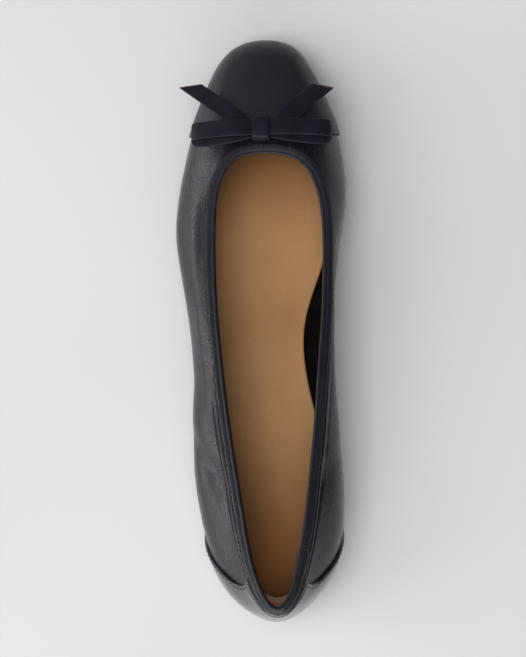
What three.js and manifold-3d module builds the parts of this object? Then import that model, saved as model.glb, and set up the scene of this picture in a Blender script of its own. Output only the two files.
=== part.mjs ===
// A ballet flat for the left foot, in millimetres.
// +Z is up, +Y points to the toe and +X to the inner side of the foot.
// The origin is on the floor, under the middle of the shoe's box.
import * as THREE from "three";
import { mergeVertices } from "three/addons/utils/BufferGeometryUtils.js";
import Module from "manifold-3d";

const wasm = await Module();
wasm.setup();

// Driving dimensions of the last
const LENGTH = 247;
const BALL_WIDTH = 73.6;
const BACK_HEIGHT = 57;
const HEEL_HEIGHT = 8;
const TOE_SPRING = 6;

// Thicknesses
const WALL = 1.5;
const SOLE_THICKNESS = 3;
const INSOLE_THICKNESS = 3;
const LIFT_THICKNESS = 2.2;
const OVERLAY_THICKNESS = 1;
const BINDING_THICKNESS = 0.7;
const RIBBON_THICKNESS = 0.9;

// Clearance between pieces that meet, and how deep the binding folds over the collar
const GAP = 0.3;
const BINDING_DEPTH = 4.6;

// Sole: how far it stands out past the upper's lower edge, and its rounded lower edge
const SOLE_MARGIN = 0.8;
const SOLE_BEVEL = 0.8;

// Heel block: where it ends, how hollow its breast is, and its taper to the floor
const HEEL_LENGTH = 58;
const BREAST_HOLLOW = 3;
const HEEL_TAPER = 1.2;
const HEEL_SETBACK = 0.6;

// The seat stays level a little past the heel block; the tread's ends are shares of the length
const SEAT_MARGIN = 8;
const TREAD_START = 0.56;
const TREAD_END = 0.8;

// Slope of the wall where it meets the sole, in degrees from level
const FLARE = 55;

// Fullness of the wall's curves: handles at the sole, below the widest line and at the top edge,
// as shares of the distance that each curve spans
const HANDLES = { sole: 0.35, below: 0.4, top: 0.38 };

// Sections of the upper, from toe to heel. Shares: along of the length, across of the ball width,
// up of the back height. The first four columns are the widest line of the wall and how far its
// lower edge lies inside it (a share of the ball width); the next four are the opening's edge and
// the wall's slope there in degrees; crown sets how full the wall is above its widest line.
const COLUMNS = ["along", "across", "up", "inset", "openAlong", "openAcross", "openUp", "slope", "crown"];
const TOE = [1, 0, 0.245, 0.057, 0.796, -0.012, 0.7, 18, 0.27];
const HEEL = [0, 0, 0.44, 0.05, 0.0376, 0.02, 1, 76, 0.4];
const LATERAL_SIDE = [
  [0.985, -0.183, 0.25, 0.056, 0.7945, -0.073, 0.7, 19, 0.27],
  [0.96, -0.261, 0.26, 0.055, 0.791, -0.126, 0.7, 21, 0.28],
  [0.92, -0.332, 0.27, 0.054, 0.7835, -0.17, 0.699, 25, 0.3],
  [0.87, -0.403, 0.285, 0.053, 0.772, -0.21, 0.697, 30, 0.33],
  [0.8, -0.473, 0.3, 0.052, 0.749, -0.249, 0.69, 38, 0.36],
  [0.72, -0.529, 0.315, 0.052, 0.712, -0.276, 0.68, 43, 0.38],
  [0.66, -0.543, 0.325, 0.053, 0.663, -0.287, 0.673, 46, 0.4],
  [0.6, -0.521, 0.34, 0.056, 0.607, -0.29, 0.672, 48, 0.4],
  [0.52, -0.479, 0.365, 0.06, 0.526, -0.282, 0.69, 52, 0.4],
  [0.44, -0.459, 0.39, 0.062, 0.4455, -0.26, 0.74, 55, 0.4],
  [0.35, -0.462, 0.41, 0.06, 0.3565, -0.228, 0.795, 57, 0.4],
  [0.26, -0.46, 0.425, 0.057, 0.268, -0.188, 0.85, 59, 0.4],
  [0.17, -0.424, 0.435, 0.054, 0.184, -0.146, 0.902, 62, 0.4],
  [0.1, -0.362, 0.44, 0.052, 0.1216, -0.111, 0.943, 66, 0.4],
  [0.06, -0.295, 0.44, 0.05, 0.084, -0.077, 0.967, 70, 0.4],
  [0.025, -0.19, 0.44, 0.05, 0.055, -0.035, 0.988, 74, 0.4],
];
const MEDIAL_SIDE = [
  [0.985, 0.168, 0.25, 0.056, 0.7937, 0.08, 0.7, 19, 0.27],
  [0.96, 0.236, 0.26, 0.055, 0.7895, 0.138, 0.7, 21, 0.28],
  [0.92, 0.304, 0.275, 0.054, 0.7825, 0.183, 0.699, 25, 0.3],
  [0.87, 0.378, 0.29, 0.053, 0.77, 0.23, 0.697, 30, 0.33],
  [0.8, 0.438, 0.305, 0.053, 0.749, 0.265, 0.69, 38, 0.36],
  [0.72, 0.457, 0.33, 0.055, 0.7096, 0.3, 0.68, 43, 0.38],
  [0.66, 0.425, 0.41, 0.064, 0.658, 0.312, 0.673, 46, 0.38],
  [0.6, 0.394, 0.52, 0.088, 0.602, 0.309, 0.672, 48, 0.36],
  [0.52, 0.379, 0.57, 0.168, 0.5244, 0.296, 0.69, 50, 0.36],
  [0.44, 0.376, 0.57, 0.182, 0.4434, 0.272, 0.74, 52, 0.38],
  [0.35, 0.385, 0.54, 0.133, 0.344, 0.242, 0.8, 55, 0.4],
  [0.26, 0.405, 0.49, 0.09, 0.25, 0.206, 0.86, 58, 0.4],
  [0.17, 0.402, 0.46, 0.067, 0.164, 0.167, 0.915, 62, 0.4],
  [0.1, 0.355, 0.445, 0.056, 0.1064, 0.128, 0.95, 66, 0.4],
  [0.06, 0.288, 0.44, 0.051, 0.071, 0.099, 0.97, 70, 0.4],
  [0.025, 0.183, 0.44, 0.05, 0.0488, 0.066, 0.99, 74, 0.4],
];

// Rows of the wall's mesh: the widest line is at share WIDEST of the way up
const WIDEST = 0.25;
const WALL_ROWS = [0, 0.05, 0.15, WIDEST, 0.33, 0.42, 0.51, 0.6, 0.69, 0.78, 0.87, 0.94, 1];
const RING_STEPS = 76;
// How much closer the steps lie at the toe and heel than along the sides
const END_CROWDING = 0.4;
const RIB_COLUMNS = 4;
const HALVINGS = 40;
const VAMP_SHARE = 0.2;

// Toe cap seam in plan, as shares of the length and the ball width
const CAP_SEAM = {
  lateral: { along: 0.82, across: -0.6 },
  crest: { along: 0.846, across: 0 },
  medial: { along: 0.815, across: 0.6 },
};

// Counter seam seen from the side, from the sole up: shares of the length and the back height
const COUNTER_SEAM = [
  { along: 0.19, up: 0.1 },
  { along: 0.134, up: 0.42 },
  { along: 0.1, up: 0.57 },
  { along: 0.076, up: 0.68 },
  { along: 0.068, up: 0.74 },
  { along: 0.069, up: 0.79 },
  { along: 0.075, up: 0.84 },
  { along: 0.086, up: 0.89 },
  { along: 0.1, up: 0.94 },
  { along: 0.115, up: 0.99 },
];

// Ribbon bow on the cap's seam
const BOW = { along: 0.834, across: -0.016 };
const RIBBON_WIDTH = 7.3;
const KNOT = { width: 7, length: 9.6, height: 5.6, round: 2 };
// A loop: how far its fold lies from the knot's centre, how far it droops there, and its room
// above the tail. Its ribbon runs from the knot's top, round the fold and back below it, with out
// from the knot's side to the fold and up from the lower layer to the knot's top.
const LOOP = { reach: 29, droop: 3, lift: 0.4 };
const LOOP_FOLD = [
  { out: 0, up: 0.7 },
  { out: 0.14, up: 0.9 },
  { out: 0.36, up: 1 },
  { out: 0.63, up: 0.97 },
  { out: 0.86, up: 0.85 },
  { out: 0.965, up: 0.68 },
  { out: 1, up: 0.42 },
  { out: 0.965, up: 0.16 },
  { out: 0.84, up: 0.04 },
  { out: 0.6, up: 0 },
  { out: 0.3, up: 0 },
  { out: 0, up: 0 },
];
// Tails: where each ends from the knot's centre, how far its cut slants, and how far it droops
const TAILS = {
  lateral: { out: -30, ahead: 22.4, slant: 3.4, droop: 3 },
  medial: { out: 26.2, ahead: 20.8, slant: 2.4, droop: 3 },
};
const TAIL_STEPS = 8;
const FOLD_STEPS = 36;
const RIBBON_CORNERS = 4;

// Colours and finishes
const FINISHES = {
  leather: { color: 0x141519, roughness: 0.5, metalness: 0 },
  capLeather: { color: 0x26272b, roughness: 0.45, metalness: 0 },
  ribbon: { color: 0x191b24, roughness: 0.75, metalness: 0 },
  tan: { color: 0x8f744f, roughness: 0.7, metalness: 0 },
  elastic: { color: 0x17181c, roughness: 0.8, metalness: 0 },
  rubber: { color: 0x0f0f10, roughness: 0.8, metalness: 0 },
};

function radians(degrees) {
  return degrees * Math.PI / 180;
}

// Solves a set of linear equations, each a row with its right side last
function solve(rows) {
  const count = rows.length;
  for (let i = 0; i < count; i += 1) {
    for (let j = i + 1; j < count; j += 1) {
      const factor = rows[j][i] / rows[i][i];
      for (let k = i; k <= count; k += 1) {
        rows[j][k] -= factor * rows[i][k];
      }
    }
  }
  const answer = new Array(count).fill(0);
  for (let i = count - 1; i >= 0; i -= 1) {
    let rest = rows[i][count];
    for (let k = i + 1; k < count; k += 1) {
      rest -= rows[i][k] * answer[k];
    }
    answer[i] = rest / rows[i][i];
  }
  return answer;
}

// A closed smooth curve (a periodic cubic spline) through values at knots from 0 to 1
function closedSpline(knots, values) {
  const count = knots.length;
  const value = (i) => values[(i + count) % count];
  const knot = (i) => knots[(i + count) % count] + Math.floor(i / count);
  const rows = values.map((_, i) => {
    const before = knot(i) - knot(i - 1);
    const after = knot(i + 1) - knot(i);
    const row = new Array(count + 1).fill(0);
    row[(i - 1 + count) % count] = before / 6;
    row[i] = (before + after) / 3;
    row[(i + 1) % count] = after / 6;
    row[count] = (value(i + 1) - value(i)) / after - (value(i) - value(i - 1)) / before;
    return row;
  });
  const bends = solve(rows);
  return (u) => {
    const place = u - Math.floor(u);
    let i = count - 1;
    while (knots[i] > place) {
      i -= 1;
    }
    const width = knot(i + 1) - knots[i];
    const left = (knot(i + 1) - place) / width;
    const right = 1 - left;
    const bend = (left ** 3 - left) * bends[i] + (right ** 3 - right) * bends[(i + 1) % count];
    return left * values[i] + right * value(i + 1) + bend * width ** 2 / 6;
  };
}

// The ring of sections: from the toe along the lateral side to the heel, and back on the medial side
const SECTIONS = [TOE, ...LATERAL_SIDE, HEEL, ...MEDIAL_SIDE.toReversed()].map((row) =>
  Object.fromEntries(COLUMNS.map((name, i) => [name, row[i]]))
);

// Knots of the ring: half a turn for each side, spaced as the widest line is long
function ringKnots() {
  const heel = LATERAL_SIDE.length + 1;
  const places = SECTIONS.map((row) => new THREE.Vector2(row.across * BALL_WIDTH, row.along * LENGTH));
  const steps = places.map((place, i) => place.distanceTo(places[(i + 1) % places.length]));
  const sum = (list) => list.reduce((total, step) => total + step, 0);
  const lateral = sum(steps.slice(0, heel));
  const medial = sum(steps.slice(heel));
  return places.map((_, i) =>
    i <= heel ? 0.5 * sum(steps.slice(0, i)) / lateral : 0.5 + 0.5 * sum(steps.slice(heel, i)) / medial
  );
}

const KNOTS = ringKnots();
const ring = Object.fromEntries(
  COLUMNS.map((name) => [name, closedSpline(KNOTS, SECTIONS.map((row) => row[name]))])
);

// Height of the sole's underside at a place along the shoe: seat, arch, tread and toe spring
function soleUnderside(y) {
  const share = y / LENGTH + 0.5;
  const seatEnd = (HEEL_LENGTH + SEAT_MARGIN) / LENGTH;
  const arch = THREE.MathUtils.smoothstep(share, seatEnd, TREAD_START);
  const spring = Math.max(0, (share - TREAD_END) / (1 - TREAD_END));
  return HEEL_HEIGHT * (1 - arch) + TOE_SPRING * spring ** 2;
}

function soleTop(y) {
  return soleUnderside(y) + SOLE_THICKNESS;
}

// Height at which the upper and the insole sit
function seatHeight(y) {
  return soleTop(y) + GAP;
}

const PLAN_STEP = 1e-4;

// Unit vector pointing out of a closed plan curve that runs anticlockwise
function outwardOf(curve, u) {
  const ahead = curve(u + PLAN_STEP);
  const behind = curve(u - PLAN_STEP);
  return new THREE.Vector3(ahead.y - behind.y, behind.x - ahead.x, 0).normalize();
}

function widestLine(u) {
  return new THREE.Vector3(
    ring.across(u) * BALL_WIDTH, (ring.along(u) - 0.5) * LENGTH, ring.up(u) * BACK_HEIGHT
  );
}

function openingEdge(u) {
  return new THREE.Vector3(
    ring.openAcross(u) * BALL_WIDTH, (ring.openAlong(u) - 0.5) * LENGTH, ring.openUp(u) * BACK_HEIGHT
  );
}

// The upper's lower edge, where it meets the sole
function lowerEdge(u) {
  const inset = ring.inset(u) * BALL_WIDTH;
  const edge = widestLine(u).addScaledVector(outwardOf(widestLine, u), -inset);
  edge.z = seatHeight(edge.y);
  return edge;
}

// The upper's own top edge: outside the opening by the binding that wraps it
function topEdge(u) {
  const slope = radians(ring.slope(u));
  const fold = GAP + BINDING_THICKNESS;
  const out = fold * Math.cos(slope) + (WALL + fold) * Math.sin(slope);
  const edge = openingEdge(u).addScaledVector(outwardOf(openingEdge, u), out);
  edge.z -= fold * Math.sin(slope);
  return edge;
}

// Two curves make each section: one below the widest line and one above it
const sectionCache = new Map();
function sectionAt(u) {
  if (!sectionCache.has(u)) {
    const low = lowerEdge(u);
    const wide = widestLine(u);
    const top = topEdge(u);
    const out = outwardOf(widestLine, u);
    const inward = top.clone().sub(wide).setZ(0).normalize();
    const slope = radians(ring.slope(u));
    const lowReach = low.distanceTo(wide);
    const topReach = top.distanceTo(wide);
    const flare = radians(FLARE);
    const lowHandle = low.clone().addScaledVector(out, HANDLES.sole * lowReach * Math.cos(flare));
    lowHandle.z += HANDLES.sole * lowReach * Math.sin(flare);
    const below = wide.clone().setZ(wide.z - HANDLES.below * lowReach);
    const above = wide.clone().setZ(wide.z + ring.crown(u) * topReach);
    const topHandle = top.clone().addScaledVector(inward, -HANDLES.top * topReach * Math.cos(slope));
    topHandle.z -= HANDLES.top * topReach * Math.sin(slope);
    sectionCache.set(u, {
      lower: new THREE.CubicBezierCurve3(low, lowHandle, below, wide),
      upper: new THREE.CubicBezierCurve3(wide, above, topHandle, top),
    });
  }
  return sectionCache.get(u);
}

// A point of the upper's outer face: u runs round the ring, s from the lower edge to the top
function facePoint(u, s) {
  const section = sectionAt(u);
  return s < WIDEST
    ? section.lower.getPoint(s / WIDEST)
    : section.upper.getPoint((s - WIDEST) / (1 - WIDEST));
}

const RING_TICK = 1e-3;
const RISE_TICK = 1e-3;

// Point, outward normal and upward direction of the face, with the length of a unit of s
function faceFrame(u, s) {
  const low = Math.max(0, s - RISE_TICK);
  const high = Math.min(1, s + RISE_TICK);
  const along = facePoint(u + RING_TICK, s).sub(facePoint(u - RING_TICK, s));
  const rise = facePoint(u, high).sub(facePoint(u, low));
  const speed = rise.length() / (high - low);
  return {
    point: facePoint(u, s),
    normal: along.cross(rise).normalize(),
    rise: rise.normalize(),
    speed,
  };
}

// A point at a distance outside the face; beyond is a distance past the top edge
function offsetPoint(u, s, distance, beyond = 0) {
  const { point, normal, rise } = faceFrame(u, s);
  return point.addScaledVector(normal, distance).addScaledVector(rise, beyond);
}

// The share s that lies a distance below the top edge
function belowTop(u, distance) {
  return 1 - distance / faceFrame(u, 1).speed;
}

// Finds where a rising function passes zero between two ends
function bisect(rising, low, high) {
  for (let i = 0; i < HALVINGS; i += 1) {
    const middle = (low + high) / 2;
    if (rising(middle) < 0) {
      low = middle;
    } else {
      high = middle;
    }
  }
  return (low + high) / 2;
}

function geometryOf(points, triangles) {
  const geometry = new THREE.BufferGeometry();
  geometry.setAttribute("position", new THREE.Float32BufferAttribute(points.flatMap((p) => p.toArray()), 3));
  geometry.setIndex(triangles.flat());
  return geometry;
}

// Turns a closed mesh inside out if its faces point in
function facingOut(geometry) {
  const position = geometry.attributes.position;
  const index = geometry.index.array;
  const corner = (i) => new THREE.Vector3().fromBufferAttribute(position, index[i]);
  let volume = 0;
  for (let i = 0; i < index.length; i += 3) {
    volume += corner(i).dot(corner(i + 1).cross(corner(i + 2)));
  }
  if (volume < 0) {
    geometry.setIndex(new THREE.Uint32BufferAttribute(index.toReversed(), 1));
  }
  return geometry;
}

// The ring's steps, closer together round the toe and heel
function ringShare(i) {
  const turn = i / RING_STEPS;
  return turn - END_CROWDING * Math.sin(4 * Math.PI * turn) / (4 * Math.PI);
}

// A closed band: section(u) gives the corners of its section, which is swept round the ring
function bandRound(section) {
  const loops = Array.from({ length: RING_STEPS }, (_, i) => section(ringShare(i)));
  const size = loops[0].length;
  const triangles = [];
  for (let i = 0; i < RING_STEPS; i += 1) {
    const next = (i + 1) % RING_STEPS;
    for (let k = 0; k < size; k += 1) {
      const up = (k + 1) % size;
      const corners = [i * size + k, next * size + k, next * size + up, i * size + up];
      triangles.push([corners[0], corners[1], corners[2]], [corners[0], corners[2], corners[3]]);
    }
  }
  return geometryOf(loops.flat(), triangles);
}

// A plate from edge rings, listed from the bottom up, each a function of u. Its two faces follow
// height functions along the shoe, on ribs that cross from side to side.
function plate(edges, bottomHeight, topHeight) {
  const points = edges.flatMap((edge) => Array.from({ length: RING_STEPS }, (_, i) => edge(ringShare(i))));
  const triangles = [];
  const half = RING_STEPS / 2;
  for (let level = 0; level + 1 < edges.length; level += 1) {
    for (let i = 0; i < RING_STEPS; i += 1) {
      const low = level * RING_STEPS;
      const high = low + RING_STEPS;
      const next = (i + 1) % RING_STEPS;
      triangles.push([low + i, low + next, high + next], [low + i, high + next, high + i]);
    }
  }
  const closeFace = (start, height, turn) => {
    const add = (a, b, c) => triangles.push(turn ? [a, c, b] : [a, b, c]);
    const rib = (k) => {
      const ends = [start + k, start + RING_STEPS - k];
      const inner = Array.from({ length: RIB_COLUMNS - 1 }, (_, m) => {
        const place = points[ends[0]].clone().lerp(points[ends[1]], (m + 1) / RIB_COLUMNS);
        place.z = height(place.y);
        return points.push(place) - 1;
      });
      return [ends[0], ...inner, ends[1]];
    };
    const ribs = Array.from({ length: half - 1 }, (_, k) => rib(k + 1));
    for (let m = 0; m < RIB_COLUMNS; m += 1) {
      add(start, ribs[0][m], ribs[0][m + 1]);
      add(ribs[half - 2][m], start + half, ribs[half - 2][m + 1]);
      for (let k = 0; k + 1 < ribs.length; k += 1) {
        add(ribs[k][m], ribs[k + 1][m], ribs[k + 1][m + 1]);
        add(ribs[k][m], ribs[k + 1][m + 1], ribs[k][m + 1]);
      }
    }
  };
  closeFace(0, bottomHeight, true);
  closeFace((edges.length - 1) * RING_STEPS, topHeight, false);
  return geometryOf(points, triangles);
}

// Cutting, on closed solids
function solidOf(geometry) {
  const bare = geometry.clone();
  bare.deleteAttribute("normal");
  bare.deleteAttribute("uv");
  const merged = mergeVertices(bare, 1e-4);
  return new wasm.Manifold(new wasm.Mesh({
    numProp: 3,
    vertProperties: new Float32Array(merged.attributes.position.array),
    triVerts: new Uint32Array(merged.index.array),
  }));
}

function shared(first, second) {
  const mesh = solidOf(first).intersect(solidOf(second)).getMesh();
  const geometry = new THREE.BufferGeometry();
  geometry.setAttribute("position", new THREE.Float32BufferAttribute(mesh.vertProperties, 3));
  geometry.setIndex(new THREE.Uint32BufferAttribute(mesh.triVerts, 1));
  return geometry;
}

// Upper: one hollow shell, open at the collar and underneath
function upperGeometry() {
  return bandRound((u) => [
    ...WALL_ROWS.map((s) => offsetPoint(u, s, 0)),
    ...WALL_ROWS.toReversed().map((s) => offsetPoint(u, s, -WALL)),
  ]);
}

// Outsole: from the lower edge's outline, with a bevelled lower edge
function soleEdge(u, margin, height) {
  const edge = lowerEdge(u).addScaledVector(outwardOf(lowerEdge, u), margin);
  edge.z = soleUnderside(edge.y) + height;
  return edge;
}

function outsoleGeometry() {
  return plate(
    [
      (u) => soleEdge(u, SOLE_MARGIN - SOLE_BEVEL, 0),
      (u) => soleEdge(u, SOLE_MARGIN, SOLE_BEVEL),
      (u) => soleEdge(u, SOLE_MARGIN, SOLE_THICKNESS),
    ],
    soleUnderside,
    soleTop,
  );
}

// Insole: fills the foot bed from wall to wall
function insoleGeometry() {
  const inside = -(WALL + GAP);
  const foot = (u) => {
    const edge = offsetPoint(u, 0, inside);
    edge.z = seatHeight(edge.y);
    return edge;
  };
  const top = (u) => {
    const over = (s) => {
      const place = offsetPoint(u, s, inside);
      return place.z - seatHeight(place.y) - INSOLE_THICKNESS;
    };
    return offsetPoint(u, bisect(over, 0, WIDEST), inside);
  };
  return plate([foot, (u) => offsetPoint(u, 0, inside), top], seatHeight, (y) => seatHeight(y) + INSOLE_THICKNESS);
}

// A layer of the heel: level faces, on the sole's outline, ending in a hollow breast
function heelLayer(bottom, top, bottomInset, topInset) {
  const edge = (inset, height) => (u) => {
    const place = lowerEdge(u).addScaledVector(outwardOf(lowerEdge, u), SOLE_MARGIN - inset);
    return place.setZ(height);
  };
  const layer = plate([edge(bottomInset, bottom), edge(topInset, top)], () => bottom, () => top);
  const back = -LENGTH / 2;
  const front = back + HEEL_LENGTH;
  const outline = new THREE.Shape();
  outline.moveTo(-BALL_WIDTH, back - HEEL_LENGTH);
  outline.lineTo(BALL_WIDTH, back - HEEL_LENGTH);
  outline.lineTo(BALL_WIDTH, front);
  outline.lineTo(BALL_WIDTH / 2, front);
  outline.quadraticCurveTo(0, front - 2 * BREAST_HOLLOW, -BALL_WIDTH / 2, front);
  outline.lineTo(-BALL_WIDTH, front);
  const cutter = new THREE.ExtrudeGeometry(outline, {
    depth: 2 * HEEL_HEIGHT, curveSegments: 10, bevelEnabled: false,
  });
  cutter.translate(0, 0, -HEEL_HEIGHT / 2);
  return shared(layer, cutter);
}

function heelGeometry() {
  return heelLayer(LIFT_THICKNESS + GAP, HEEL_HEIGHT - GAP, HEEL_SETBACK + HEEL_TAPER, HEEL_SETBACK);
}

function heelLiftGeometry() {
  return heelLayer(0, LIFT_THICKNESS, HEEL_SETBACK + HEEL_TAPER, HEEL_SETBACK + HEEL_TAPER);
}

// An overlay's layer over the whole wall, before it is cut to its outline
function overlayLayer(topOf) {
  const foot = WALL_ROWS[1];
  return bandRound((u) => {
    const top = topOf(u);
    const rows = WALL_ROWS.slice(1).map((s) => foot + (s - foot) * (top - foot) / (1 - foot));
    return [
      ...rows.map((s) => offsetPoint(u, s, GAP + OVERLAY_THICKNESS)),
      ...rows.toReversed().map((s) => offsetPoint(u, s, GAP)),
    ];
  });
}

function planPoint({ along, across }) {
  return new THREE.Vector2(across * BALL_WIDTH, (along - 0.5) * LENGTH);
}

function toeCapGeometry() {
  const lateral = planPoint(CAP_SEAM.lateral);
  const crest = planPoint(CAP_SEAM.crest);
  const medial = planPoint(CAP_SEAM.medial);
  const outline = new THREE.Shape();
  outline.moveTo(lateral.x, lateral.y);
  outline.quadraticCurveTo(crest.x, 2 * crest.y - (lateral.y + medial.y) / 2, medial.x, medial.y);
  outline.lineTo(medial.x, LENGTH);
  outline.lineTo(lateral.x, LENGTH);
  const cutter = new THREE.ExtrudeGeometry(outline, {
    depth: 2 * BACK_HEIGHT, curveSegments: 16, bevelEnabled: false,
  });
  cutter.translate(0, 0, -BACK_HEIGHT / 2);
  return shared(overlayLayer(() => 1), cutter);
}

function counterGeometry() {
  const seam = new THREE.SplineCurve(
    COUNTER_SEAM.map(({ along, up }) => new THREE.Vector2((along - 0.5) * LENGTH, up * BACK_HEIGHT))
  );
  const outline = new THREE.Shape(seam.getPoints(24));
  outline.lineTo(-LENGTH, COUNTER_SEAM.at(-1).up * BACK_HEIGHT);
  outline.lineTo(-LENGTH, COUNTER_SEAM[0].up * BACK_HEIGHT);
  const cutter = new THREE.ExtrudeGeometry(outline, { depth: 2 * BALL_WIDTH, bevelEnabled: false });
  cutter.rotateX(Math.PI / 2);
  cutter.rotateZ(Math.PI / 2);
  cutter.translate(-BALL_WIDTH, 0, 0);
  return shared(overlayLayer((u) => belowTop(u, BINDING_DEPTH + GAP)), cutter);
}

// Binding: a strip folded over the collar's edge, with an outer and an inner leg
function bindingGeometry() {
  const near = GAP;
  const far = GAP + BINDING_THICKNESS;
  const shoulder = far - BINDING_THICKNESS / 8;
  const crown = far + BINDING_THICKNESS / 8;
  const middle = (u) => (1 + belowTop(u, BINDING_DEPTH)) / 2;
  return bandRound((u) => {
    const end = belowTop(u, BINDING_DEPTH);
    return [
      offsetPoint(u, end, near),
      offsetPoint(u, end, far),
      offsetPoint(u, middle(u), far),
      offsetPoint(u, 1, far),
      offsetPoint(u, 1, near, shoulder),
      offsetPoint(u, 1, -WALL / 2, crown),
      offsetPoint(u, 1, -WALL - near, shoulder),
      offsetPoint(u, 1, -WALL - far),
      offsetPoint(u, middle(u), -WALL - far),
      offsetPoint(u, end, -WALL - far),
      offsetPoint(u, end, -WALL - near),
      offsetPoint(u, middle(u), -WALL - near),
      offsetPoint(u, 1, -WALL - near, near),
      offsetPoint(u, 1, near, near),
      offsetPoint(u, middle(u), near),
    ];
  });
}

// Where on the face a place in plan lies, on the front of the shoe
function faceShares(x, y) {
  const side = x < 0 ? 1 : -1;
  const shareAt = (u) => bisect((s) => y - facePoint(u, s).y, WIDEST, 1);
  const past = (u) => side * (x - facePoint(side * u, shareAt(side * u)).x);
  const u = side * bisect(past, 0, VAMP_SHARE);
  return { u, s: shareAt(u) };
}

// A flat ribbon along a path: rows of {centre, across}, where across is half its width
function ribbonGeometry(rows) {
  const points = [];
  const triangles = [];
  rows.forEach(({ centre, across }, i) => {
    const before = rows[Math.max(0, i - 1)].centre;
    const after = rows[Math.min(rows.length - 1, i + 1)].centre;
    const normal = after.clone().sub(before).cross(across).setLength(RIBBON_THICKNESS / 2);
    points.push(
      centre.clone().add(across).add(normal),
      centre.clone().sub(across).add(normal),
      centre.clone().sub(across).sub(normal),
      centre.clone().add(across).sub(normal),
    );
  });
  for (let i = 0; i + 1 < rows.length; i += 1) {
    const near = RIBBON_CORNERS * i;
    const far = near + RIBBON_CORNERS;
    for (let k = 0; k < RIBBON_CORNERS; k += 1) {
      const next = (k + 1) % RIBBON_CORNERS;
      const corners = [near + k, far + k, far + next, near + next];
      triangles.push([corners[0], corners[1], corners[2]], [corners[0], corners[2], corners[3]]);
    }
  }
  const last = RIBBON_CORNERS * (rows.length - 1);
  triangles.push([0, 1, 2], [0, 2, 3], [last + 2, last + 1, last], [last + 3, last + 2, last]);
  return facingOut(geometryOf(points, triangles));
}

// The bow lies on the vamp's slope, over the cap's seam and the front of the binding
function onVamp(geometry) {
  const place = planPoint(BOW);
  const { u, s } = faceShares(place.x, place.y);
  const { point, normal } = faceFrame(u, s);
  geometry.rotateX(-Math.atan2(normal.y, normal.z));
  const seat = point.addScaledVector(normal, 2 * GAP + Math.max(OVERLAY_THICKNESS, BINDING_THICKNESS));
  return geometry.translate(seat.x, seat.y, seat.z);
}

function bowKnotGeometry() {
  const { width, length, height, round } = KNOT;
  const outline = new THREE.Shape();
  outline.moveTo(-length / 2, 0);
  outline.lineTo(length / 2, 0);
  outline.lineTo(length / 2, height - round);
  outline.quadraticCurveTo(length / 2, height, length / 2 - round, height);
  outline.lineTo(round - length / 2, height);
  outline.quadraticCurveTo(-length / 2, height, -length / 2, height - round);
  const knot = new THREE.ExtrudeGeometry(outline, { depth: width, curveSegments: 5, bevelEnabled: false });
  knot.rotateX(Math.PI / 2);
  knot.rotateZ(Math.PI / 2);
  knot.translate(-width / 2, 0, 0);
  return onVamp(knot);
}

function bowLoopGeometry(side) {
  const start = KNOT.width / 2 + GAP;
  const low = RIBBON_THICKNESS + GAP + LOOP.lift + RIBBON_THICKNESS / 2;
  const high = KNOT.height - RIBBON_THICKNESS / 2;
  const fold = LOOP_FOLD.map(({ out, up }) => new THREE.Vector3(
    side * (start + out * (LOOP.reach - start)), 0, low + up * (high - low) - LOOP.droop * out ** 2,
  ));
  const path = new THREE.CatmullRomCurve3(fold).getPoints(FOLD_STEPS);
  const across = new THREE.Vector3(0, RIBBON_WIDTH / 2, 0);
  return onVamp(ribbonGeometry(path.map((centre) => ({ centre, across }))));
}

function bowTailGeometry({ out, ahead, slant, droop }) {
  const start = new THREE.Vector3(Math.sign(out) * (KNOT.width / 2 + GAP), 0, 0);
  const end = new THREE.Vector3(out, ahead, 0);
  const direction = end.clone().sub(start).normalize();
  const across = new THREE.Vector3(-direction.y, direction.x, 0).multiplyScalar(RIBBON_WIDTH / 2);
  const rows = Array.from({ length: TAIL_STEPS + 1 }, (_, i) => {
    const share = i / TAIL_STEPS;
    const centre = start.clone().lerp(end, share);
    centre.z = RIBBON_THICKNESS / 2 - droop * share ** 2;
    const atKnot = -across.x / direction.x * (1 - share) ** 4;
    const atEnd = -Math.sign(out) * slant * share ** 4;
    return { centre, across: across.clone().addScaledVector(direction, atKnot + atEnd) };
  });
  return onVamp(ribbonGeometry(rows));
}

function meshOf(name, geometry, finish) {
  const mesh = new THREE.Mesh(geometry, new THREE.MeshStandardMaterial(FINISHES[finish]));
  mesh.name = name;
  return mesh;
}

const shoe = new THREE.Group();
shoe.add(
  meshOf("upper", upperGeometry(), "leather"),
  meshOf("outsole", outsoleGeometry(), "rubber"),
  meshOf("insole", insoleGeometry(), "tan"),
  meshOf("heel", heelGeometry(), "rubber"),
  meshOf("heel_lift", heelLiftGeometry(), "rubber"),
  meshOf("toe_cap", toeCapGeometry(), "capLeather"),
  meshOf("counter", counterGeometry(), "leather"),
  meshOf("binding", bindingGeometry(), "elastic"),
  meshOf("bow_knot", bowKnotGeometry(), "ribbon"),
  meshOf("bow_loop_lateral", bowLoopGeometry(-1), "ribbon"),
  meshOf("bow_loop_medial", bowLoopGeometry(1), "ribbon"),
  meshOf("bow_tail_lateral", bowTailGeometry(TAILS.lateral), "ribbon"),
  meshOf("bow_tail_medial", bowTailGeometry(TAILS.medial), "ribbon"),
);

// The origin goes to the middle of the box, on the floor
const box = new THREE.Box3().setFromObject(shoe);
const middle = box.getCenter(new THREE.Vector3());
shoe.children.forEach((mesh) => mesh.geometry.translate(-middle.x, -middle.y, -box.min.z));

export default shoe;
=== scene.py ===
"""Looks of a ballet flat for the left foot: leather, ribbon, linings, seams and a studio.

Lengths are in millimetres, in the shoe's own frame, until a mesh is made in metres.
"""
import math

import bmesh
import bpy
import numpy as np
from mathutils import Matrix, Vector


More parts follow.
